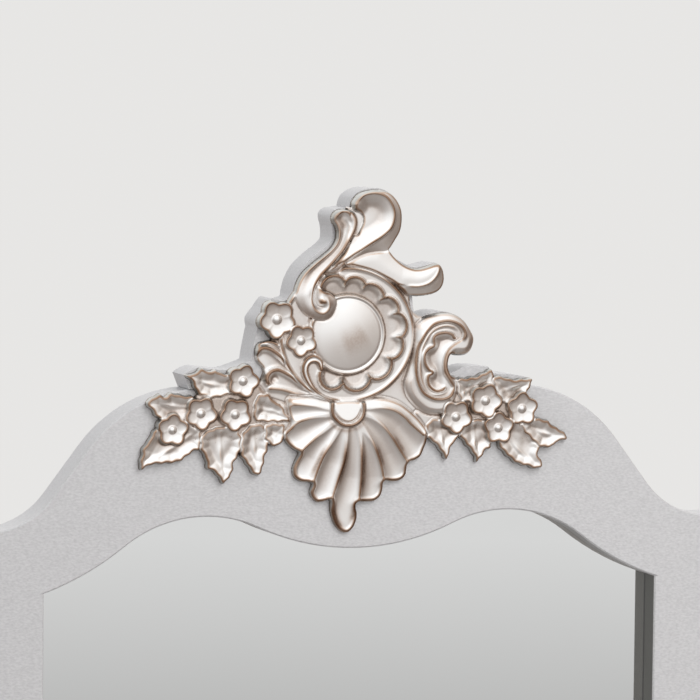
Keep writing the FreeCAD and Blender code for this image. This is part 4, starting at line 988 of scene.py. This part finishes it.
# Camera, fitted to the straight and curved edges of the frame
LENS, SENSOR = 246.857, 36
CAMERA_PLACE = (-0.983265, -2.881914, 0.934650)
CAMERA_RIGHT = Vector((0.94678037, -0.32168699, 0.01115401))
CAMERA_UP = Vector((0.01258603, 0.07162454, 0.99735225))
CAMERA_AHEAD = Vector((0.32163414, 0.94413315, -0.07186147))
camera = bpy.data.cameras.new("camera")
camera.lens = LENS
camera.sensor_width = SENSOR
viewer = add_object("camera", camera)
axes = Matrix((CAMERA_RIGHT, CAMERA_UP, -CAMERA_AHEAD)).transposed().to_4x4()
viewer.matrix_world = Matrix.Translation(CAMERA_PLACE) @ axes
bpy.context.scene.camera = viewer

# Floor and lamps
FLOOR_SIZE, FLOOR_Z = 5, -0.0005
bpy.ops.mesh.primitive_plane_add(size=FLOOR_SIZE, location=(0, 0, FLOOR_Z))
floor = bpy.context.object
floor.name = "floor"
floor.data.materials.append(material("floor_pale", (0.78, 0.77, 0.76), metallic=0.0, roughness=0.7)[0])
floor.visible_glossy = False


def area(name, place, aim, size, power):
    """A soft lamp that isn't itself reflected in metal or glass."""
    lamp = bpy.data.lights.new(name, "AREA")
    lamp.size = size
    lamp.energy = power
    obj = add_object(name, lamp)
    obj.location = place
    obj.rotation_euler = (Vector(aim) - Vector(place)).to_track_quat("-Z", "Y").to_euler()
    obj.visible_glossy = False


area("key", place=(0.6, -1.2, 1.8), aim=(0.1, 0, 0.75), size=1.0, power=20)
area("fill", place=(1.8, -2.4, 0.9), aim=(0, 0, 0.65), size=1.4, power=6)
area("left", place=(-2.2, -0.5, 1.3), aim=(0, 0, 0.7), size=1.2, power=6)

# Surroundings: the light on paint, the room in metal from floor to ceiling and from left to right,
# the grey in the mirror between two directions, and the wall behind
DIFFUSE, WALL = (0.43, 0.43, 0.44), (0.80, 0.792, 0.78)
ROOM_UP = [(0.0, (0.30, 0.27, 0.25)), (0.2, (0.38, 0.34, 0.315)), (0.33, (0.54, 0.50, 0.475)),
           (0.42, (0.76, 0.73, 0.71)), (0.47, (0.93, 0.92, 0.91)), (0.56, (1.12, 1.12, 1.12)),
           (0.7, (1.35, 1.35, 1.35)), (1.0, (1.2, 1.2, 1.2))]
ROOM_ACROSS = [(0.0, (0.55, 0.53, 0.51)), (0.15, (0.88, 0.87, 0.86)), (0.35, (1.05, 1.05, 1.05)),
               (0.68, (1.0, 0.99, 0.98)), (0.81, (0.72, 0.67, 0.63)), (0.93, (0.42, 0.36, 0.32)),
               (1.0, (0.28, 0.23, 0.2))]
IN_MIRROR = [(0.0, (0.53, 0.53, 0.525)), (1.0, (0.70, 0.70, 0.695))]
MIRROR_LOW, MIRROR_HIGH = -0.1445, -0.111


def surroundings():
    """A world that gives each kind of ray its own plain surroundings."""
    world = bpy.data.worlds.new("studio")
    bpy.context.scene.world = world
    world.use_nodes = True
    tree = world.node_tree
    tree.nodes.clear()
    out = tree.nodes.new("ShaderNodeOutputWorld")
    coords = tree.nodes.new("ShaderNodeTexCoord")
    split = tree.nodes.new("ShaderNodeSeparateXYZ")
    tree.links.new(coords.outputs["Generated"], split.inputs["Vector"])
    path = tree.nodes.new("ShaderNodeLightPath")

    def emit(color):
        background = tree.nodes.new("ShaderNodeBackground")
        if isinstance(color, tuple):
            background.inputs["Color"].default_value = (*color, 1)
        else:
            tree.links.new(color, background.inputs["Color"])
        return background.outputs["Background"]

    up = ramp(tree, map_range(tree, split.outputs["Z"], -1.0, 1.0), ROOM_UP)
    sideways = ramp(tree, map_range(tree, split.outputs["X"], -1.0, 1.0), ROOM_ACROSS)
    in_mirror = ramp(tree, map_range(tree, split.outputs["Z"], MIRROR_LOW, MIRROR_HIGH), IN_MIRROR)
    light = emit(DIFFUSE)
    for ray, color in (("Is Glossy Ray", blend(tree, up, sideways, kind="MULTIPLY")),
                       ("Is Singular Ray", in_mirror), ("Is Camera Ray", WALL)):
        mix = tree.nodes.new("ShaderNodeMixShader")
        for socket, source in zip(mix.inputs, (path.outputs[ray], light, emit(color))):
            tree.links.new(source, socket)
        light = mix.outputs["Shader"]
    tree.links.new(light, out.inputs["Surface"])


surroundings()

bpy.context.scene.view_settings.view_transform = "Standard"
